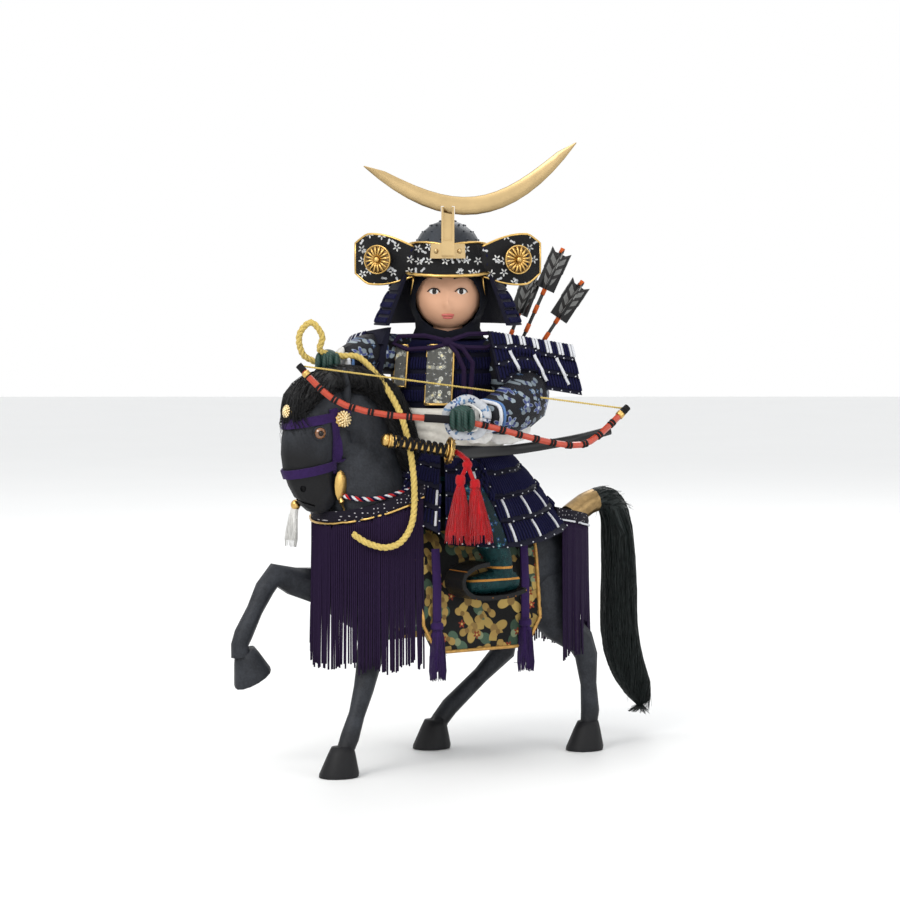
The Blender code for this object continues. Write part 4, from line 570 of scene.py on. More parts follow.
def tubes(name, paths, radius, materials, sides=5, taper=0.0, picks=None, flat=1.0):
    # one mesh of many tubes; taper is the share of the radius lost at the far end
    points, faces, marks = [], [], []
    for number, path in enumerate(paths):
        path = np.array([tuple(point) for point in path], float)
        if len(path) < 2:
            continue
        ways = np.gradient(path, axis=0)
        ways /= np.maximum(np.linalg.norm(ways, axis=1)[:, None], 1e-9)
        side = np.cross(ways[0], (0.3, 0.2, 1.0) if abs(ways[0][2]) < 0.8 else (1.0, 0.3, 0.0))
        start, size = len(points), radius[number] if hasattr(radius, "__len__") else radius
        for index, (spot, way) in enumerate(zip(path, ways)):
            side = side - way * np.dot(side, way)
            side /= max(np.linalg.norm(side), 1e-9)
            other = np.cross(way, side)
            thick = size * (1 - taper * index / (len(path) - 1))
            for k in range(sides):
                turn = 2 * math.pi * k / sides
                points.append(spot + side * math.cos(turn) * thick + other * math.sin(turn) * thick * flat)
        rings = len(path)
        for ring in range(rings - 1):
            for k in range(sides):
                a, b = start + ring * sides + k, start + ring * sides + (k + 1) % sides
                faces.append((a, b, b + sides, a + sides))
        faces.append(tuple(start + k for k in reversed(range(sides))))
        faces.append(tuple(start + (rings - 1) * sides + k for k in range(sides)))
        marks += [picks[number] if picks is not None else 0] * (len(faces) - len(marks))
    return makeObject(name, points, faces, materials, marks)


def blob(centre, halves, turn=None, rings=8, segments=12):
    # the points and faces of one closed ellipsoid
    points, faces = [Vector((0, 0, -1))], []
    for ring in range(1, rings):
        tall = math.pi * ring / rings
        for k in range(segments):
            points.append(Vector((math.sin(tall) * math.cos(2 * math.pi * k / segments),
                                  math.sin(tall) * math.sin(2 * math.pi * k / segments), -math.cos(tall))))
    points.append(Vector((0, 0, 1)))
    last = len(points) - 1
    for k in range(segments):
        nextOne = (k + 1) % segments
        faces.append((0, 1 + nextOne, 1 + k))
        faces.append((last, last - segments + k, last - segments + nextOne))
        for ring in range(rings - 2):
            a = 1 + ring * segments
            faces.append((a + k, a + nextOne, a + segments + nextOne, a + segments + k))
    turn = (turn or Matrix.Identity(3)) @ Matrix.Diagonal(halves)
    return [Vector(centre) + turn @ point for point in points], faces


def blobs(name, shapes, materials, picks=None):
    points, faces, marks = [], [], []
    for number, shape in enumerate(shapes):
        more, sides = blob(*shape)
        start = len(points)
        points += more
        faces += [tuple(start + index for index in side) for side in sides]
        marks += [picks[number] if picks is not None else 0] * len(sides)
    return makeObject(name, points, faces, materials, marks)


# Smooth shading of the CAD nodes

shading = {"weld": 0.00002, "crease": 42, "softCrease": 80,
           "soft": ("horse", "tail", "leg", "sleeve", "crescent")}


def smoothNodes():
    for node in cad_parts.values():
        mesh = node.data
        if "custom_normal" in mesh.attributes:
            mesh.attributes.remove(mesh.attributes["custom_normal"])
        mesh.polygons.foreach_set("use_smooth", [True] * len(mesh.polygons))
        node.modifiers.new("weld", "WELD").merge_threshold = shading["weld"]
        split = node.modifiers.new("split", "EDGE_SPLIT")
        crease = shading["softCrease" if node.name.startswith(shading["soft"]) else "crease"]
        split.split_angle = math.radians(crease)
        split.use_edge_sharp = False


smoothNodes()

# Hair


def flowStrands(name, tree, roots, flow, length, lift, radius, look, steps=7, wander=0.35, taper=0.75):
    # strands that start on a surface and run along it
    paths = []
    for spot, normal in roots:
        drift = Vector(random.normal(0, wander, 3))
        path, reach = [], length * random.uniform(0.6, 1.15)
        height = lift * random.uniform(0.2, 1.0)
        for step in range(steps):
            path.append(spot + normal * (height * min(1, 0.25 + step * 0.3)))
            way = flow(spot) + drift * (0.35 + 0.65 * step / steps)
            way = way - normal * way.dot(normal)
            if way.length < 1e-6:
                break
            ahead = spot + way.normalized() * reach / (steps - 1)
            found = tree.find_nearest(ahead)
            if found[0] is None or (found[0] - ahead).length > 0.004:
                path.append(ahead + Vector((0, 0, -0.0005)))
                break
            spot, normal = found[0], (found[1] if found[1].dot(normal) > 0 else normal)
        if len(path) > 2:
            paths.append(path)
    return tubes(name, paths, radius, [look], 3, taper)


def rootsOn(name, count, keep=lambda spot, normal: True):
    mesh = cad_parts[name].data
    mesh.calc_loop_triangles()
    corners = np.array([[tuple(mesh.vertices[index].co) for index in face.vertices]
                        for face in mesh.loop_triangles])
    normals = np.cross(corners[:, 1] - corners[:, 0], corners[:, 2] - corners[:, 0])
    areas = np.linalg.norm(normals, axis=1)
    made = []
    for index in random.choice(len(corners), count * 3, p=areas / areas.sum()):
        a, b = random.random(2)
        if a + b > 1:
            a, b = 1 - a, 1 - b
        origin, second, third = corners[index]
        spot = Vector(origin + a * (second - origin) + b * (third - origin))
        normal = Vector(normals[index] / areas[index])
        if keep(spot, normal):
            made.append((spot, normal))
        if len(made) == count:
            break
    return made


mane = {"strands": 1500, "length": 0.034, "lift": 0.0024, "radius": 0.00034, "poll": 0.082}
forelock = {"locks": 260, "ahead": 0.104, "up": 0.262, "spread": 0.0065, "drift": 0.003,
            "length": (0.016, 0.034), "lift": (0.0004, 0.0022), "radius": 0.00036, "bulge": 0.006}


def maneFlow(spot):
    ahead = (spot - aheadOf(0, 0, 0)).dot(forward)
    if ahead > mane["poll"]:
        return forward * 0.5 - upward * 1.0 + leftward * 0.12
    return -upward * 1.0 + leftward * 0.75 - forward * 0.18


def makeMane():
    roots = rootsOn("horse_mane", mane["strands"])
    flowStrands("mane_hair", surfaceOf("horse_mane"), roots, maneFlow, mane["length"], mane["lift"],
                mane["radius"], looks["hair"])


def makeForelock():
    locks = []
    front = surfaceOf("horse_body", "horse_mane", "bridle")
    for _ in range(forelock["locks"]):
        side = random.normal(0, forelock["spread"])
        start = aheadOf(forelock["ahead"] + random.normal(0, forelock["drift"]), side,
                        forelock["up"] + random.normal(0, forelock["drift"]))
        path, reach = [], random.uniform(*forelock["length"])
        for step in range(7):
            share = step / 6
            fall = start + forward * (forelock["bulge"] * math.sin(step * 0.5))
            fall += -upward * reach * share + leftward * side * 0.5 * share
            spot, normal = front.find_nearest(fall)[:2]
            if normal.dot(forward + upward) > 0:
                spot = spot + normal * random.uniform(*forelock["lift"])
            path.append(spot)
        locks.append(path)
    tubes("forelock_hair", locks, forelock["radius"], [looks["hair"]], 3, 0.7)


makeMane()
makeForelock()

tail = {"strands": 1300, "length": 0.075, "lift": 0.0016, "radius": 0.00036, "tip": 0.012,
        "hangs": 0.150, "leaves": 0.168}


def tailFlow(spot):
    # out of the sleeve, over the bend and then straight down
    if spot.z > tail["leaves"]:
        return -forward * 1.0 + upward * 0.2
    return -upward if spot.z < tail["hangs"] else -forward * 0.4 - upward


def makeTail():
    tree = surfaceOf("horse_tail")
    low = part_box("horse_tail")[0][2]
    roots = rootsOn("horse_tail", tail["strands"], lambda spot, normal: spot.z > low + tail["tip"])
    flowStrands("tail_hair", tree, roots, tailFlow, tail["length"], tail["lift"], tail["radius"],
                looks["tailHair"], 9, 0.12)


makeTail()
print("hair made")

# Fringes of hanging strings

fringe = {"pitch": 0.00155, "radius": 0.00075, "sway": 0.0004, "round": 0.050, "rows": 60,
          "raise": 0.0010, "ragged": 0.0045}
rowStep = 0.0008
chestAhead, rumpAhead = 0.035, -0.083


def ringHits(tree, centre, bearing, ups, reach=0.13):
    turn = math.radians(bearing)
    out = Vector((math.sin(turn), -math.cos(turn), 0))
    made = []
    for up in ups:
        start = Vector((centre[0], centre[1], up)) + out * reach
        found = tree.ray_cast(start, -out, reach)
        if found[0] is not None:
            made.append((up, found[0], out))
    return made


def fringeStrings(name, node, ahead):
    tree = surfaceOf(node)
    low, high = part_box(node)
    centre = aheadOf(ahead, 0, 0)
    ups = np.arange(high[2] - 0.0002, low[2], -rowStep)
    paths, bearing = [], 0.0
    while bearing < 360:
        hits = ringHits(tree, centre, bearing, ups)
        bearing += math.degrees(fringe["pitch"] / fringe["round"])
        if len(hits) < fringe["rows"]:
            continue
        up, top, out = hits[0]
        hits = [(up, top + upward * fringe["raise"], out)] + hits[4::7]
        shift = random.normal(0, fringe["sway"], 2)
        path = [spot + out * 0.0001 + Vector((shift[0], shift[1], 0)) * (index / len(hits)) ** 2
                for index, (up, spot, out) in enumerate(hits)]
        path[-1] = path[-1] - upward * random.uniform(0.0, fringe["ragged"])
        paths.append(path)
    made = tubes(name, paths, fringe["radius"], [looks["plum"]], 5, 0.1)
    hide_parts(node)
    return made


fringeStrings("breast_fringe_strings", "breast_fringe", chestAhead)
fringeStrings("crupper_fringe_strings", "crupper_fringe", rumpAhead)


def edgeBraid(name, node, ahead, radius, look, above=0.0008, out=0.0012):
    # a braid along the lower edge of a band round the horse
    tree = surfaceOf(node)
    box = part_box(node)
    centre, path, paths = aheadOf(ahead, 0, 0), [], []
    ups = np.arange(box[1][2], box[0][2], -0.0004)
    for bearing in range(0, 361, 3):
        hits = ringHits(tree, centre, bearing, ups)
        if len(hits) < 3:
            if len(path) > 3:
                paths.append(path)
            path = []
            continue
        up, spot, away = hits[-1]
        path.append(spot + away * out + upward * above)
    if len(path) > 3:
        paths.append(path)
    if len(paths) > 1 and (Vector(paths[0][0]) - Vector(paths[-1][-1])).length < 0.012:
        paths[0] = paths.pop() + paths[0]
    return tubes(name, paths, radius, [look], 6)


edgeBraid("breast_collar_braid", "breast_collar", chestAhead, 0.0008, looks["gold"])
edgeBraid("crupper_band_braid", "crupper_band", rumpAhead, 0.0007, looks["whiteLace"])
print("fringes made")

# Tassels

tassels = {  # look, strands, their length, and the height under which they start
    "chin_tassel": ("white", 150, 0.022, 0.174), "sash_tassels": ("red", 420, 0.032, 0.195),
    "saddle_tassel_front": ("purple", 260, 0.032, 0.096), "saddle_tassel_rear": ("purple", 260, 0.032, 0.094),
}
for nodeName, (look, count, reach, below) in tassels.items():
    roots = rootsOn(nodeName, count, lambda spot, normal: spot.z < below and normal.z > -0.5)
    flowStrands(nodeName + "_strands", surfaceOf(nodeName), roots, lambda spot: -upward, reach,
                0.0009, 0.00032, looks[look], 7, 0.06, 0.3)
print("tassels made")

# Armour lacing

lacing = {"pitch": 0.0023, "radius": 0.00095, "bulge": 0.0006, "covered": 0.80, "dot": 0.00052}


def laceTier(hits, tiers, laces, dots, white):
    # hits run from the top of the panel down; each tier gets one lace and one dot on its lower edge
    count = len(hits)
    for tier in range(tiers):
        first, last = round(count * tier / tiers), round(count * (tier + 1) / tiers) - 1
        rows = hits[first:last + 1]
        if len(rows) < 5:
            continue
        keep = max(3, int(len(rows) * lacing["covered"]))
        path = [spot + out * (0.0002 + lacing["bulge"] * math.sin(math.pi * k / (keep - 1)))
                for k, (spot, out) in enumerate(rows[:keep])]
        laces.append((path[::max(1, len(path) // 5)] + [path[-1]], white(tier)))
        spot, out = rows[-1 - int(len(rows) * 0.06)]
        dots.append(spot + out * 0.0003)


def makeStudGroup():
    # a round stud on every point
    group = bpy.data.node_groups.new("studs", "GeometryNodeTree")
    for socket, kind in (("Geometry", "Geometry"), ("Radius", "Float"), ("Material", "Material")):
        group.interface.new_socket(socket, in_out="INPUT", socket_type="NodeSocket" + kind)
    group.interface.new_socket("Geometry", in_out="OUTPUT", socket_type="NodeSocketGeometry")
    given, out = group.nodes.new("NodeGroupInput"), group.nodes.new("NodeGroupOutput")
    ball, place, real, smooth, paint = (group.nodes.new("GeometryNode" + kind) for kind in (
        "MeshIcoSphere", "InstanceOnPoints", "RealizeInstances", "SetShadeSmooth", "SetMaterial"))
    ball.inputs["Subdivisions"].default_value = 2
    link = group.links.new
    link(given.outputs["Radius"], ball.inputs["Radius"])
    link(given.outputs["Geometry"], place.inputs["Points"])
    link(ball.outputs["Mesh"], place.inputs["Instance"])
    link(place.outputs[0], real.inputs[0])
    link(real.outputs[0], smooth.inputs[0])
    link(smooth.outputs[0], paint.inputs["Geometry"])
    link(given.outputs["Material"], paint.inputs["Material"])
    link(paint.outputs[0], out.inputs[0])
    return group


studGroup = makeStudGroup()


def makeStuds(name, spots, radius, material):
    made = makeObject(name, spots, [], [material])
    modifier = made.modifiers.new("studs", "NODES")
    modifier.node_group = studGroup
    values = {"Radius": radius, "Material": material}
    for socket in studGroup.interface.items_tree:
        if socket.in_out == "INPUT" and socket.name in values:
            modifier[socket.identifier] = values[socket.name]
    solid = bpy.data.meshes.new_from_object(made.evaluated_get(bpy.context.evaluated_depsgraph_get()))
    made.modifiers.remove(modifier)
    made.data = solid
    return made


def layLaces(name, columns, tiers, dotEvery, white=lambda number, tier: False):
    # white says which laces are pale, and every dotEvery-th column ends its tiers in studs
    laces, dots = [], []
    for number, hits in enumerate(columns):
        studs = dots if number % dotEvery == 0 else []
        laceTier(hits, tiers, laces, studs, lambda tier: white(number, tier))
    picks = [1 if pale else 0 for path, pale in laces]
    tubes(name + "_laces", [path for path, pale in laces], lacing["radius"],
          [looks["navyLace"], looks["whiteLace"]], 6, 0.0, picks)
    if dots:
        makeStuds(name + "_studs", dots, lacing["dot"], looks["whiteLace"])


def roundColumns(node, centre, pitchRadius):
    tree = surfaceOf(node)
    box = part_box(node)
    ups = np.arange(box[1][2] - 0.0002, box[0][2], -rowStep)
    step = math.degrees(lacing["pitch"] / pitchRadius)
    columns, bearing = [], -180.0
    while bearing < 180:
        hits = ringHits(tree, centre, bearing, ups)
        bearing += step
        hits = [(spot, out) for up, spot, out in hits]
        if len(hits) > 12:
            columns.append(hits)
    return columns


for nodeName in ("skirt_left", "skirt_front", "skirt_back", "skirt_right"):
    layLaces(nodeName, roundColumns(nodeName, waistMiddle, 0.056), 4, 4,
             lambda number, tier: number % 8 == 3 and tier > 1)

seldom = 500  # more than there are columns, so that only the first one has studs
neckLaces = {"pitchRadius": 0.042, "reach": 0.0535, "faceSide": -0.012, "faceHalf": 0.026, "faceLow": 0.322}


def neckLaced(spot):
    # not on what turns back beside the face
    beside = spot.y < neckLaces["faceSide"] and abs(spot.x) > neckLaces["faceHalf"]
    away = math.hypot(spot.x - headMiddle.x, spot.y - headMiddle.y)
    return away < neckLaces["reach"] and not (beside and spot.z > neckLaces["faceLow"])


def neckColumns():
    made = []
    for hits in roundColumns("neck_guard", (headMiddle.x, headMiddle.y), neckLaces["pitchRadius"]):
        kept = [(spot, out) for spot, out in hits if neckLaced(spot)]
        if len(kept) > 12:
            made.append(kept)
    return made


layLaces("neck_guard", neckColumns(), 4, seldom)


def flatColumns(node, first, second, down, drop, outward, count):
    tree = surfaceOf(node)
    columns = []
    for number in range(count):
        top = first.lerp(second, (number + 0.5) / count)
        hits = []
        for step in range(-4, 60):
            start = top + down * drop * step / 55 + outward * 0.03
            found = tree.ray_cast(start, -outward, 0.06)
            if found[0] is not None:
                hits.append((found[0], outward))
        if len(hits) > 12:
            columns.append(hits)
    return columns


guards = {
    "left": {"first": byRider(0.033, -0.028, 0.297), "second": byRider(0.090, -0.012, 0.287), "count": 26,
             "down": Vector((0.16, 0, -0.98)), "outward": Vector((0.26, -0.96, 0)).normalized()},
    "right": {"first": byRider(-0.060, 0.026, 0.291), "second": byRider(-0.038, -0.018, 0.298), "count": 22,
              "down": Vector((-0.10, 0, -0.99)), "outward": Vector((-0.89, -0.45, 0)).normalized()},
}


def whiteOnLeft(number, tier):
    return tier == 0 and number % 4 < 2 and number > 1


def whiteOnRight(number, tier):
    return (tier == 0 and number % 4 == 2) or (tier == 2 and number % 8 == 5)


for side, white in (("left", whiteOnLeft), ("right", whiteOnRight)):
    nodeName = "shoulder_guard_" + side
    layLaces(nodeName, flatColumns(nodeName, drop=0.036, **guards[side]), 3, 3, white)
print("laces made")

# Helmet trim

wings = {"length": 0.040, "height": 0.032, "bearing": 52, "root": (0.0295, 0.020), "rim": 0.00085,
         "rosetteAt": 0.58, "discRadius": 0.0098, "petals": 16, "raise": 0.0042}


def wingPoint(side, share, level, lift=0.0):
    # share runs out along the wing and level from its lower edge, -0.5, to its upper, 0.5
    root = roundHead(side * wings["bearing"], *wings["root"])
    spread = 0.62 + 0.45 * math.sin(math.pi * min(share * 0.75, 1)) - 0.30 * max(0, share - 0.8) / 0.2
    back = wings["length"] * (0.10 * share + 0.30 * share ** 2)
    middle = root + Vector((side * wings["length"] * share, back, 0.002 + 0.002 * share))
    bulge = 0.003 * (1 - 4 * level * level)
    return middle + upward * level * spread * wings["height"] - Vector((0, bulge + lift, 0))


def makeWings():
    points, faces, rims, tips = [], [], [], []
    along, across = 18, 10
    layer = (along + 1) * (across + 1)
    for side in (1, -1):
        start = len(points)
        for lift in (0.0009, 0.0002):
            points += [wingPoint(side, i / along, j / across - 0.5, lift)
                       for i in range(along + 1) for j in range(across + 1)]
        for i in range(along):
            for j in range(across):
                a = start + i * (across + 1) + j
                quad = (a, a + across + 1, a + across + 2, a + 1)
                faces.append(quad if side < 0 else quad[::-1])
                faces.append(tuple(layer + index for index in (quad[::-1] if side < 0 else quad)))
        rim = [wingPoint(side, i / along, 0.5, 0.0004) for i in range(along + 1)]
        rim += [wingPoint(side, 1, 0.5 - j / 6, 0.0004) for j in range(1, 7)]
        rim += [wingPoint(side, 1 - i / along, -0.5, 0.0004) for i in range(1, along + 1)]
        rims.append(rim)
        root = wingPoint(side, 0.0, -0.5, 0.001)
        drops = ((0, 0, 0), (0.0010, 0.0005, -0.006), (0.0022, 0.0010, -0.013))
        tips.append([root + Vector((side * x, y, z)) for x, y, z in drops])
    makeObject("helmet_wings", points, faces, [looks["brim"]])
    tubes("wing_rims", rims, wings["rim"], [looks["gold"]], 8)
    tubes("wing_tips", tips, 0.0016, [looks["gold"]], 8, 0.8, flat=0.5)


def makeWingRosettes():
    petals, hearts, discs = [], [], []
    reach, at = wings["discRadius"], wings["rosetteAt"]
    for side in (1, -1):
        along = wingPoint(side, at + 0.06, 0) - wingPoint(side, at - 0.06, 0)
        facing = along.cross(wingPoint(side, at, 0.1) - wingPoint(side, at, -0.1)).normalized()
        facing = facing if facing.y < 0 else -facing
        centre = wingPoint(side, at, 0.0, 0.0009) + facing * wings["raise"]
        discs.append((centre - facing * 0.0016, (reach, reach, 0.0018), aimed(facing), 8, 28))
        first, second = acrossFrom(facing)
        for k in range(wings["petals"]):
            turn = 2 * math.pi * (k + 0.5) / wings["petals"]
            way = first * math.cos(turn) + second * math.sin(turn)
            petals.append([centre + way * reach * share + facing * lift
                           for share, lift in ((0.28, 0.0008), (0.62, 0.0010), (0.92, 0.0002))])
        ring = [spot + facing * 0.0001 for spot in circle(centre, first, second, reach * 0.97, 32)]
        petals += [ring, [centre + (spot - centre) * 0.30 + facing * 0.0006 for spot in ring]]
        hearts.append((centre + facing * 0.0009, (0.0021,) * 3, None, 8, 12))
    sizes = [0.00085 if len(path) < 10 else 0.00055 for path in petals]
    tubes("wing_rosettes", petals, sizes, [looks["gold"]], 6)
    blobs("wing_rosette_hearts", hearts, [looks["gold"]])
    blobs("wing_rosette_discs", discs, [looks["darkGold"]])


makeWings()
makeWingRosettes()

brimTrim = {"from": 0.3585, "to": 0.331, "step": 0.0003, "halfAngle": 74, "radii": [0.0008, 0.0012]}


def makeBrimRims():
    tree = surfaceOf("helmet_brim")
    top, low = [], []
    ups = np.arange(brimTrim["from"], brimTrim["to"], -brimTrim["step"])
    for bearing in range(-brimTrim["halfAngle"], brimTrim["halfAngle"] + 1, 4):
        hits = ringHits(tree, (headMiddle.x, headMiddle.y), bearing, ups, 0.06)
        if len(hits) < 8:
            continue
        top.append(hits[0][1] + hits[0][2] * 0.0004 + Vector((0, 0, 0.0002)))
        low.append(hits[-1][1] + hits[-1][2] * 0.0002)
    tubes("brim_rims", [top, low], brimTrim["radii"], [looks["gold"]], 8)


makeBrimRims()


rivets = {"ribs": 14, "levels": 5, "lowest": 28, "step": 13, "radius": 0.00075, "origin": 0.018}


def makeRivets():
    tree = surfaceOf("helmet_bowl")
    spots = []
    origin = headMiddle + upward * rivets["origin"]
    for rib in range(rivets["ribs"]):
        turn = math.radians(360 * (rib + 0.5) / rivets["ribs"])
        for level in range(rivets["levels"]):
            lift = math.radians(rivets["lowest"] + rivets["step"] * level)
            way = Vector((math.sin(turn) * math.cos(lift), -math.cos(turn) * math.cos(lift), math.sin(lift)))
            found = tree.ray_cast(origin + way * 0.08, -way, 0.08)
            if found[0] is not None:
                spots.append(found[0] + found[1] * 0.0001)
    makeStuds("bowl_rivets", spots, rivets["radius"], looks["bowl"])


makeRivets()
print("helmet trim made")

# Face: plain doll features

face = {"eyeAcross": 0.0094, "eyeUp": 0.3235, "eyeHalf": (0.0036, 0.0012, 0.0021),
        "pupilHalf": (0.0018, 0.0006, 0.0019), "lidHalf": (0.0074, 0.0020), "browUp": 0.3315,
        "browAcross": 0.0102, "mouthUp": 0.3065}
lid = [(0.55, -0.3), (0.35, 0.7), (0.0, 1.05), (-0.35, 0.75), (-0.6, -0.1)]
brow = [(-0.0062, 0.0006), (-0.0025, 0.0016), (0.0025, 0.0019), (0.0065, 0.0008)]
lipShapes = [(0.0007, 0.0004, 0.0040), (-0.0006, -0.0004, 0.0032)]  # height, curve and half width


def makeFace():
    tree = surfaceOf("head")

    def onFace(x, up, out=0.0):
        found = tree.ray_cast(Vector((headMiddle.x + x, -0.1, up)), Vector((0, 1, 0)), 0.2)
        return found[0] + Vector((0, -out, 0))

    whites, darks, lines = [], [], []
    wide, tall = face["lidHalf"]
    for side in (1, -1):
        across = side * face["eyeAcross"]
        middle = onFace(across, face["eyeUp"])
        turn = Matrix.Rotation(side * 0.36, 3, "Z")
        whites.append((middle + Vector((0, 0.0003, 0)), face["eyeHalf"], turn, 8, 16))
        darks.append((middle + Vector((-side * 0.0002, -0.0006, 0)), face["pupilHalf"], turn, 8, 14))
        lines.append([onFace(across + x * wide, face["eyeUp"] + up * tall, 0.0006) for x, up in lid])
        lines.append([onFace(side * (face["browAcross"] + x), face["browUp"] + up, 0.0001) for x, up in brow])
    blobs("eye_whites", whites, [looks["eyeWhite"]])
    blobs("eye_pupils", darks, [looks["iris"]])
    tubes("face_lines", [curveThrough(line, 3) for line in lines], [0.00042, 0.00050] * 2, [looks["brow"]], 6)
    lips = [[onFace(x * half, face["mouthUp"] + up + curve * (1 - x * x), 0.0001)
             for x in (-1, -0.5, 0, 0.5, 1)] for up, curve, half in lipShapes]
    tubes("lips", [curveThrough(lip, 3) for lip in lips], [0.00085, 0.00100], [looks["lip"]], 8)


makeFace()


horseEyes = {"pupil": 0.0019, "pupilOut": 0.0042, "lid": 0.0044, "lidOut": 0.0022, "lidRadius": 0.0009}


def makeHorseEyes():
    pupils, lids = [], []
    for name, side in (("horse_eye_left", 1), ("horse_eye_right", -1)):
        centre = middleOf(name)
        facing = (leftward * side + forward * 0.35).normalized()
        pupils.append((centre + facing * horseEyes["pupilOut"], (horseEyes["pupil"],) * 3, None, 8, 12))
        first = facing.cross(upward).normalized()
        lids.append(circle(centre + facing * horseEyes["lidOut"], first, upward, horseEyes["lid"], 20))
    blobs("horse_pupils", pupils, [looks["iris"]])
    tubes("horse_eyelids", lids, horseEyes["lidRadius"], [looks["coat"]], 6)


makeHorseEyes()
print("faces made")

# Cords

cords = {"ropeDiameter": 0.0047, "braidDiameter": 0.0034, "stringDiameter": 0.0014, "pitch": 2.3}


def strands(path, diameter, count, pitch, phase=0.0):
    # the strands of one twisted rope round its centreline
    path = [Vector(spot) for spot in path]
    gone, side, made = 0.0, None, [[] for _ in range(count)]
    for index, spot in enumerate(path):
        way = (path[min(index + 1, len(path) - 1)] - path[max(index - 1, 0)]).normalized()
        side = side or way.orthogonal()
        side = (side - way * side.dot(way)).normalized()
        other = way.cross(side)
        if index:
            gone += (spot - path[index - 1]).length
        for k in range(count):
            turn = 2 * math.pi * (k / count + gone / (pitch * diameter)) + phase
            made[k].append(spot + (side * math.cos(turn) + other * math.sin(turn)) * diameter * 0.235)
    return made


def evenly(path, step):
    # the same line with points at even spacing
    made, left = [Vector(path[0])], step
    for first, second in zip(path, path[1:]):
        span = (second - first).length
        while span >= left:
            first = first.lerp(second, left / span)
            made.append(first.copy())
            span, left = (second - first).length, step
        left -= span
    return made


def lengthOf(path):
    return sum((b - a).length for a, b in zip(path, path[1:]))


def makeRope(name, node, route, diameter, materials, picks):
    path = evenly(curveThrough(route, 8), diameter * 0.28)
    twisted = strands(path, diameter, len(picks), cords["pitch"])
    made = tubes(name, twisted, diameter * 0.265, materials, 7, 0.0, picks)
    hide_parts(node)
    print(name, "length", round(lengthOf(path), 4))
    return path


ropeRoute = [aheadOf(*spot) for spot in (
    (0.0770, 0.0290, 0.1620), (0.0700, 0.0360, 0.1560), (0.0600, 0.0430, 0.1530), (0.0500, 0.0475, 0.1570),
    (0.0420, 0.0480, 0.1690), (0.0390, 0.0465, 0.1860), (0.0385, 0.0440, 0.2050), (0.0385, 0.0380, 0.2250),
    (0.0390, 0.0280, 0.2440), (0.0440, 0.0160, 0.2620), (0.0530, 0.0020, 0.2785), (0.0630, -0.0070, 0.2800))]
loopRoute = [fists["right"] + Vector(spot) for spot in (
    (-0.0050, -0.0040, 0.0080), (-0.0035, -0.0060, 0.0180), (-0.0110, -0.0070, 0.0275),
    (-0.0190, -0.0060, 0.0190), (-0.0170, -0.0030, 0.0060), (-0.0080, 0.0000, 0.0000))]
ropeRoute += loopRoute
makeRope("rein_rope", "rein_cord", ropeRoute, cords["ropeDiameter"], [looks["rope"], looks["gold"]],
         [0, 0, 0])
braidRoute = [aheadOf(*spot) for spot in (
    (0.0745, 0.0150, 0.1865), (0.0705, 0.0225, 0.1850), (0.0620, 0.0285, 0.1845), (0.0520, 0.0325, 0.1860),
    (0.0420, 0.0345, 0.1885), (0.0320, 0.0340, 0.1900), (0.0230, 0.0300, 0.1880))]
makeRope("rein_braid_strands", "rein_braid", braidRoute, cords["braidDiameter"],
         [looks["red"], looks["whiteLace"], looks["navyLace"]], [0, 1, 2])


def stringEnds():
    spots = [vertex.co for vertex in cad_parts["bowstring"].data.vertices]
    made = []
    for sign in (1, -1):
        end = min(sign * spot.x for spot in spots)
        near = [spot for spot in spots if sign * spot.x < end + 0.0012]
        made.append(sum((spot.copy() for spot in near), Vector()) / len(near))
    return made


ends = stringEnds()
stringRoute = [ends[0], ends[0].lerp(ends[1], 0.5), ends[1]]
makeRope("bowstring_strands", "bowstring", stringRoute, cords["stringDiameter"],
         [looks["rope"]], [0, 0])
print("cords made")

# Waist sash

sash = {"folds": 5, "depth": 0.0013, "out": 0.0002, "wall": 0.0022, "middle": (-0.0012, -0.0052),
        "levels": 26, "rounds": 96}


def makeSash():
    tree = surfaceOf("waist_sash")
    low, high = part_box("waist_sash")
    levels, rounds = sash["levels"], sash["rounds"]
    points, faces = [], []
    for i in range(levels + 1):
        up = low[2] + 0.0003 + (high[2] - low[2] - 0.0006) * i / levels
        for k in range(rounds):
            hits = ringHits(tree, sash["middle"], 360 * k / rounds, [up], 0.07)
            spot, out = (hits[0][1], hits[0][2]) if hits else (points[-1], Vector())
            turn = math.pi * k / rounds
            drift = 0.5 * math.sin(4 * turn + 0.7) + 0.25 * math.sin(10 * turn)
            wave = abs(math.sin(math.pi * (sash["folds"] * i / levels + drift)))
            points.append(spot + out * (sash["out"] + sash["depth"] * (wave ** 0.6 - 0.35)))
    for i in range(levels):
        for k in range(rounds):
            a, b = i * rounds + k, i * rounds + (k + 1) % rounds
            faces.append((a, b, b + rounds, a + rounds))
    inner = len(points)
    points += [spot + (Vector((*sash["middle"], spot.z)) - spot).normalized() * sash["wall"]
               for spot in points]
    faces += [tuple(inner + index for index in reversed(face)) for face in faces]
    top = levels * rounds
    for k in range(rounds):
        b = (k + 1) % rounds
        faces.append((b, k, inner + k, inner + b))
        faces.append((top + k, top + b, inner + top + b, inner + top + k))
    made = makeObject("waist_sash_folds", points, faces, [looks["sashCloth"]])
    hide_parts("waist_sash")


makeSash()

# Edges and outlines


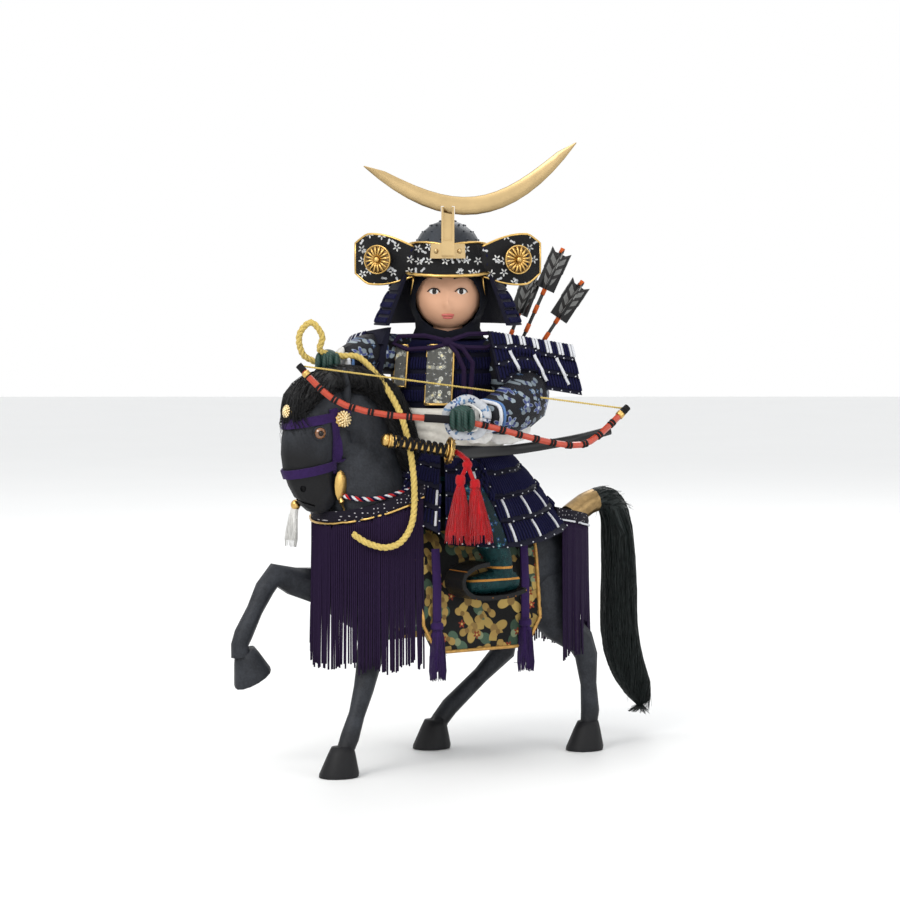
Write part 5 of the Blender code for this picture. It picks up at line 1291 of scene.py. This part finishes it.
def hullOf(node, facing):
    # the outline of a node seen along facing, as points on its front
    first, second = acrossFrom(facing)
    spots = sorted({(round(vertex.co.dot(first), 5), round(vertex.co.dot(second), 5))
                    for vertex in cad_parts[node].data.vertices})

    def half(row):
        made = []
        for spot in row:
            while len(made) > 1 and ((made[-1][0] - made[-2][0]) * (spot[1] - made[-2][1])
                                     - (made[-1][1] - made[-2][1]) * (spot[0] - made[-2][0])) <= 0:
                made.pop()
            made.append(spot)
        return made[:-1]

    ring = half(spots) + half(spots[::-1])
    middle = (sum(spot[0] for spot in ring) / len(ring), sum(spot[1] for spot in ring) / len(ring))
    tree, made = surfaceOf(node), []
    closedRing = ring + ring[:1]
    for a, b in zip(closedRing, closedRing[1:]):
        steps = max(1, int(math.hypot(b[0] - a[0], b[1] - a[1]) / 0.003))
        for step in range(steps):
            across = [a[axis] + (b[axis] - a[axis]) * step / steps for axis in (0, 1)]
            across = [value + (middle[axis] - value) * 0.03 for axis, value in enumerate(across)]
            start = first * across[0] + second * across[1]
            start += facing * (0.3 - start.dot(facing))
            found = tree.ray_cast(start, -facing, 0.8)
            if found[0] is not None:
                made.append(found[0] + facing * 0.0003)
    return made + made[:1]


edges = {
    "chest_panel_left": (Vector((-0.15, -1, 0.1)), 0.00085, "gold"),
    "chest_panel_right": (Vector((-0.65, -0.75, 0.1)), 0.00085, "gold"),
    "saddle_flap_left": (leftward, 0.0012, "orange"), "saddle_flap_right": (-leftward, 0.0012, "orange"),
}
for nodeName, (facing, radius, look) in edges.items():
    tubes(nodeName + "_edge", [hullOf(nodeName, facing.normalized())], radius, [looks[look]], 8)

# Cuffs


def sleeveMouth(sleeve, hand):
    # the widest ring of the sleeve's points nearest the hand, one to each part of a turn
    middle = middleOf(hand)
    spots = sorted((vertex.co.copy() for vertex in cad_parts[sleeve].data.vertices),
                   key=lambda spot: (spot - middle).length)[:70]
    centre = sum(spots, Vector()) / len(spots)
    axis = (centre - middle).normalized()
    first, second = acrossFrom(axis)

    def reachOf(spot):
        away = spot - centre
        return (away - axis * away.dot(axis)).length

    widest = {}
    for spot in spots:
        away = spot - centre
        part = int(math.degrees(math.atan2(away.dot(second), away.dot(first))) // 30)
        if part not in widest or reachOf(spot) > reachOf(widest[part]):
            widest[part] = spot
    ring = [widest[part] for part in sorted(widest)]
    return curveThrough(ring + ring[:1], 4), axis, centre


for side in ("left", "right"):
    ring, axis, centre = sleeveMouth("sleeve_" + side, "hand_" + side)
    inward = [spot + axis * 0.0028 + (spot - centre) * 0.03 for spot in ring]
    tubes("cuff_" + side, [ring, inward], [0.0013, 0.0011], [looks["whiteLace"], looks["cuffBlue"]],
          8, 0.0, [0, 1])
    lining = [spot - axis * lift for lift in (0.0005, -0.0003) for spot in [*ring[:-1], centre]]
    count = len(ring) - 1
    fans = [(k, (k + 1) % count, count) for k in range(count)]
    faces = fans + [tuple(count + 1 + index for index in reversed(fan)) for fan in fans]
    faces += [((k + 1) % count, k, count + 1 + k, count + 1 + (k + 1) % count) for k in range(count)]
    makeObject("cuff_lining_" + side, lining, faces, [looks["white"]])
print("sash, edges and cuffs made")

# Sword

sword = {"wraps": 9, "steps": 160, "wrapRadius": 0.0008, "gripRadius": 0.0040, "guardRadius": 0.0086,
         "pommelHalves": (0.0046, 0.0046, 0.0034)}


def makeSword():
    pommel, guard = byRider(-0.0365, -0.0700, 0.2245), byRider(0.0070, -0.0600, 0.2165)
    along = (guard - pommel).normalized()
    first, second = acrossFrom(along)

    def onGrip(share, turn, reach):
        return pommel.lerp(guard, share) + (first * math.cos(turn) + second * math.sin(turn)) * reach

    shares = [k / sword["steps"] for k in range(sword["steps"] + 1)]
    spirals = [[onGrip(0.08 + 0.84 * share, way * 2 * math.pi * sword["wraps"] * share + offset,
                       sword["gripRadius"]) for share in shares] for way in (1, -1) for offset in (0.0, 0.35)]
    tubes("sword_wrap", spirals, sword["wrapRadius"], [looks["wrap"]], 6)
    wide = sword["guardRadius"]
    rings = [circle(pommel.lerp(guard, share), first, second, reach, 32)
             for share, reach in ((0.965, wide), (0.985, wide * 0.72), (0.05, 0.0042), (0.94, 0.0044))]
    tubes("sword_rings", rings, [0.0011, 0.0008, 0.0010, 0.0009], [looks["gold"]], 8)
    petals = [[onGrip(0.985, 2 * math.pi * k / 12, reach) + along * 0.0012
               for reach in (0.0046, 0.0066, 0.0082)] for k in range(12)]
    tubes("guard_petals", petals, 0.0008, [looks["gold"]], 6)
    knob = (pommel - along * 0.0002, sword["pommelHalves"], aimed(along), 10, 18)
    blobs("sword_pommel", [knob], [looks["gold"]])


makeSword()

# Hands


fingers = {"count": 4, "pitch": 0.0042, "first": (-0.0063, -0.0036, -0.0004),
           "halves": (0.0024, 0.0056, 0.0072), "palmHalves": (0.0088, 0.0082, 0.0090)}


def makeFists():
    shapes = []
    for fist in fists.values():
        shapes.append((fist + Vector((0, 0.0010, 0)), fingers["palmHalves"], None, 14, 22))
        for k in range(fingers["count"]):
            knuckle = fist + Vector(fingers["first"]) + Vector((fingers["pitch"] * k, 0, 0))
            shapes.append((knuckle, fingers["halves"], None, 10, 14))
    blobs("glove_fingers", shapes, [looks["glove"]])


makeFists()

# Cloth at the wrists

wrists = {"ruffleHalves": (0.0128, 0.0118), "ruffle": 0.0036, "frill": 0.0013, "linings": (
    ((0.0190, -0.0720, 0.2285), (0.0110, 0.0060, 0.0062), 0.15),  # place, halves and tilt of each fold
    ((0.0400, -0.0520, 0.2290), (0.0160, 0.0060, 0.0085), -0.10),
    ((-0.0745, -0.0360, 0.2780), (0.0036, 0.0060, 0.0085), 0.30))}


def makeWrists():
    centre = fists["left"] + Vector((0.0030, 0.0050, 0.0))
    wide, tall = wrists["ruffleHalves"]
    ring = []
    for k in range(49):
        turn = 2 * math.pi * k / 48
        wave = 1 + 0.045 * math.sin(5 * turn)
        ring.append(centre + Vector((math.cos(turn) * wide * wave, -0.0020 * math.cos(3 * turn),
                                     math.sin(turn) * tall * wave)))
    ruffles = [ring, [spot + (centre - spot) * 0.22 + Vector((0, -0.0016, 0)) for spot in ring]]
    tubes("cuff_ruffle_left", ruffles, [wrists["ruffle"], wrists["frill"]],
          [looks["cuffCloth"], looks["white"]], 14, 0.0, [0, 1])
    drape = [(Vector(middle), halves, Matrix.Rotation(tilt, 3, "Y"), 14, 24)
             for middle, halves, tilt in wrists["linings"]]
    linings = blobs("sleeve_linings", drape, [looks["white"]])
    for vertex in linings.data.vertices:
        x, y, z = vertex.co
        creased = Vector((0, 0.0011 * math.sin(900 * x + 260 * z), 0.0005 * math.sin(700 * x)))
        vertex.co = vertex.co + creased


makeWrists()

# Bow

bow = {"gap": 0.0135, "radius": 0.0023, "step": 0.0008, "gripHalf": 0.012}
bowRoute = [byRider(*spot) for spot in (
    (-0.0945, -0.0840, 0.2755), (-0.0800, -0.0880, 0.2600), (-0.0630, -0.0900, 0.2490),
    (-0.0330, -0.0920, 0.2425), (0.0180, -0.0880, 0.2380), (0.0530, -0.0760, 0.2285),
    (0.0780, -0.0650, 0.2220), (0.0950, -0.0550, 0.2205), (0.1080, -0.0480, 0.2270),
    (0.1275, -0.0360, 0.2450))]


def makeBowBindings():
    fine = evenly(curveThrough(bowRoute, 12), bow["step"])
    every = int(bow["gap"] / bow["step"])
    binds, sizes = [], []
    for start in range(every // 2, len(fine) - 4, every):
        for shift in (0, 3):
            part = fine[start + shift:start + shift + 3]
            if len(part) > 1:
                binds.append(part)
                sizes.append(bow["radius"] + 0.0003)
    for part in (fine[:8], fine[-8:]):
        binds.append(part)
        sizes.append(bow["radius"] + 0.00015)
    hand = riderSpot[0] + 0.0010
    grip = [index for index, spot in enumerate(fine) if abs(spot.x - hand) < bow["gripHalf"]]
    binds.append(fine[grip[0]:grip[-1]])
    sizes.append(bow["radius"] + 0.0005)
    tubes("bow_bindings", binds, sizes, [looks["wrap"]], 10)
    wraps = [fine[8:13], fine[-13:-8]]
    tubes("bow_nock_wraps", wraps, bow["radius"] + 0.0006, [looks["gold"]], 10)


makeBowBindings()

# Arrows

arrows = {"shaft": 0.0013, "vaneHalf": 0.0074, "vaneLength": 0.0270, "thick": 0.0007, "rows": 9,
          "rise": 0.004, "lean": 22}
arrowTips = [(-0.006, (0.0660, 0.050, 0.3350)), (0.0, (0.0860, 0.044, 0.3520)),
             (0.006, (0.1000, 0.050, 0.3290))]


def makeArrows():
    lean = Matrix.Rotation(math.radians(arrows["lean"]), 3, "Y")
    mouth = byRider(0.030, 0.036, 0.226) + lean @ Vector((0, 0, 0.017))
    points, faces, shafts, threads, flat = [], [], [], [], []
    half = arrows["vaneLength"] / 2
    rows = [(-half - 0.0003 + 0.003 * k, 0.002 + arrows["rise"] * min(1, k / 3), 0.35 + 0.65 * min(1, k / 3))
            for k in range(arrows["rows"])]
    layer = 2 * len(rows)
    for shift, tip in arrowTips:
        base, tip = mouth + Vector((shift, shift / 3, 0)), byRider(*tip)
        along = (tip - base).normalized()
        turn = aimed(along)
        shafts.append([base + along * 0.006, base.lerp(tip, 0.5), tip - along * 0.003])
        middle = tip - along * (half + 0.004)
        for spin in range(4):
            side = turn @ Matrix.Rotation(spin * math.pi / 2, 3, "Z") @ Vector((1, 0, 0))
            thick = along.cross(side).normalized() * arrows["thick"]
            start = len(points)
            for lift in (1, -1):
                for up, rise, out in rows:
                    wide = out * arrows["vaneHalf"]
                    points.append(middle + along * up + thick * lift)
                    points.append(middle + along * (up + rise) + side * wide + thick * lift * 0.6)
                    flat += [(0.0, up), (wide, up + rise)]
            for row in range(len(rows) - 1):
                a = start + 2 * row
                faces += [(a, a + 1, a + 3, a + 2), (layer + a, layer + a + 2, layer + a + 3, layer + a + 1),
                          (a + 1, layer + a + 1, layer + a + 3, a + 3), (a, a + 2, layer + a + 2, layer + a)]
            faces += [(start, start + layer, start + layer + 1, start + 1),
                      (start + layer - 2, start + layer - 1, start + 2 * layer - 1, start + 2 * layer - 2)]
        for near, far in ((0.0185, 0.0123), (0.0330, 0.0268), (0.0045, 0.0)):
            threads.append([middle - along * (half + near), middle - along * (half + far)])
        threads.append([tip - along * 0.0034, tip + along * 0.0004])
    tubes("arrow_shafts", shafts, arrows["shaft"], [looks["shaft"]], 8)
    tubes("arrow_threads", threads, arrows["shaft"] + 0.0004, [looks["nock"]], 8)
    vanes = makeObject("arrow_vanes", points, faces, [looks["vane"]], None, False)
    layer = vanes.data.uv_layers.new(name="map")
    for loop in vanes.data.loops:
        layer.data[loop.index].uv = flat[loop.vertex_index]


makeArrows()
print("weapons made")

# Rosettes, bell and slanting cords

rosettes = {"rings": ((0.86, 14, 0.0), (0.58, 10, 0.35), (0.30, 6, 0.6)), "bell": (0.0034, 0.0034, 0.0036)}


def makeRosettes():
    shapes = []
    facings = {"rosette_front": forward, "rosette_left": leftward, "rosette_right": -leftward}
    for name, facing in facings.items():
        low, high = (Vector(corner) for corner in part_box(name))
        centre, reach = (low + high) / 2, (high.z - low.z) / 2
        facing = (facing + upward * 0.15).normalized()
        first, second = acrossFrom(facing)
        for share, count, lift in rosettes["rings"]:
            for k in range(count):
                turn = 2 * math.pi * (k + 0.5 * lift) / count
                way = first * math.cos(turn) + second * math.sin(turn)
                place = centre + way * reach * share * 0.9 + facing * reach * (0.30 + 0.5 * (1 - share))
                basis = Matrix((way, facing.cross(way), facing)).transposed()
                shapes.append((place, (reach * 0.26, reach * 0.13 + 0.0002, reach * 0.16), basis, 6, 8))
        shapes.append((centre + facing * reach * 0.75, (reach * 0.22,) * 3, None, 6, 10))
    blobs("rosette_petals", shapes, [looks["rosette"]])
    top = middleOf("chin_tassel")
    top.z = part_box("chin_tassel")[1][2] - 0.004
    blobs("tassel_bell", [(top, rosettes["bell"], None, 10, 16)], [looks["gold"]])


makeRosettes()


def makeSlant():
    # long white cords that slant over the lower rows of the left shoulder guard
    tree = surfaceOf("shoulder_guard_left")
    first, second, down, outward = (guards["left"][key] for key in ("first", "second", "down", "outward"))
    paths = []
    for share in (0.22, 0.50, 0.78):
        path = []
        for k in range(9):
            start = first.lerp(second, share + 0.012 * k - 0.05) + down * (0.012 + 0.0022 * k)
            found = tree.ray_cast(start + outward * 0.03, -outward, 0.06)
            if found[0] is not None:
                path.append(found[0] + outward * 0.0014)
        if len(path) > 3:
            paths.append(path)
    tubes("guard_cords", paths, 0.0011, [looks["whiteLace"]], 8)


makeSlant()


torsoLaces = {"between": (0.2455, 0.2900), "pitchRadius": 0.036, "rows": 18}


def torsoColumns():
    low, high = torsoLaces["between"]
    columns = [[(spot, out) for spot, out in hits if low < spot.z < high]
               for hits in roundColumns("torso_armour", waistMiddle, torsoLaces["pitchRadius"])]
    return [column for column in columns if len(column) > torsoLaces["rows"]]


layLaces("torso_armour", torsoColumns(), 4, seldom)
print("small pieces made")
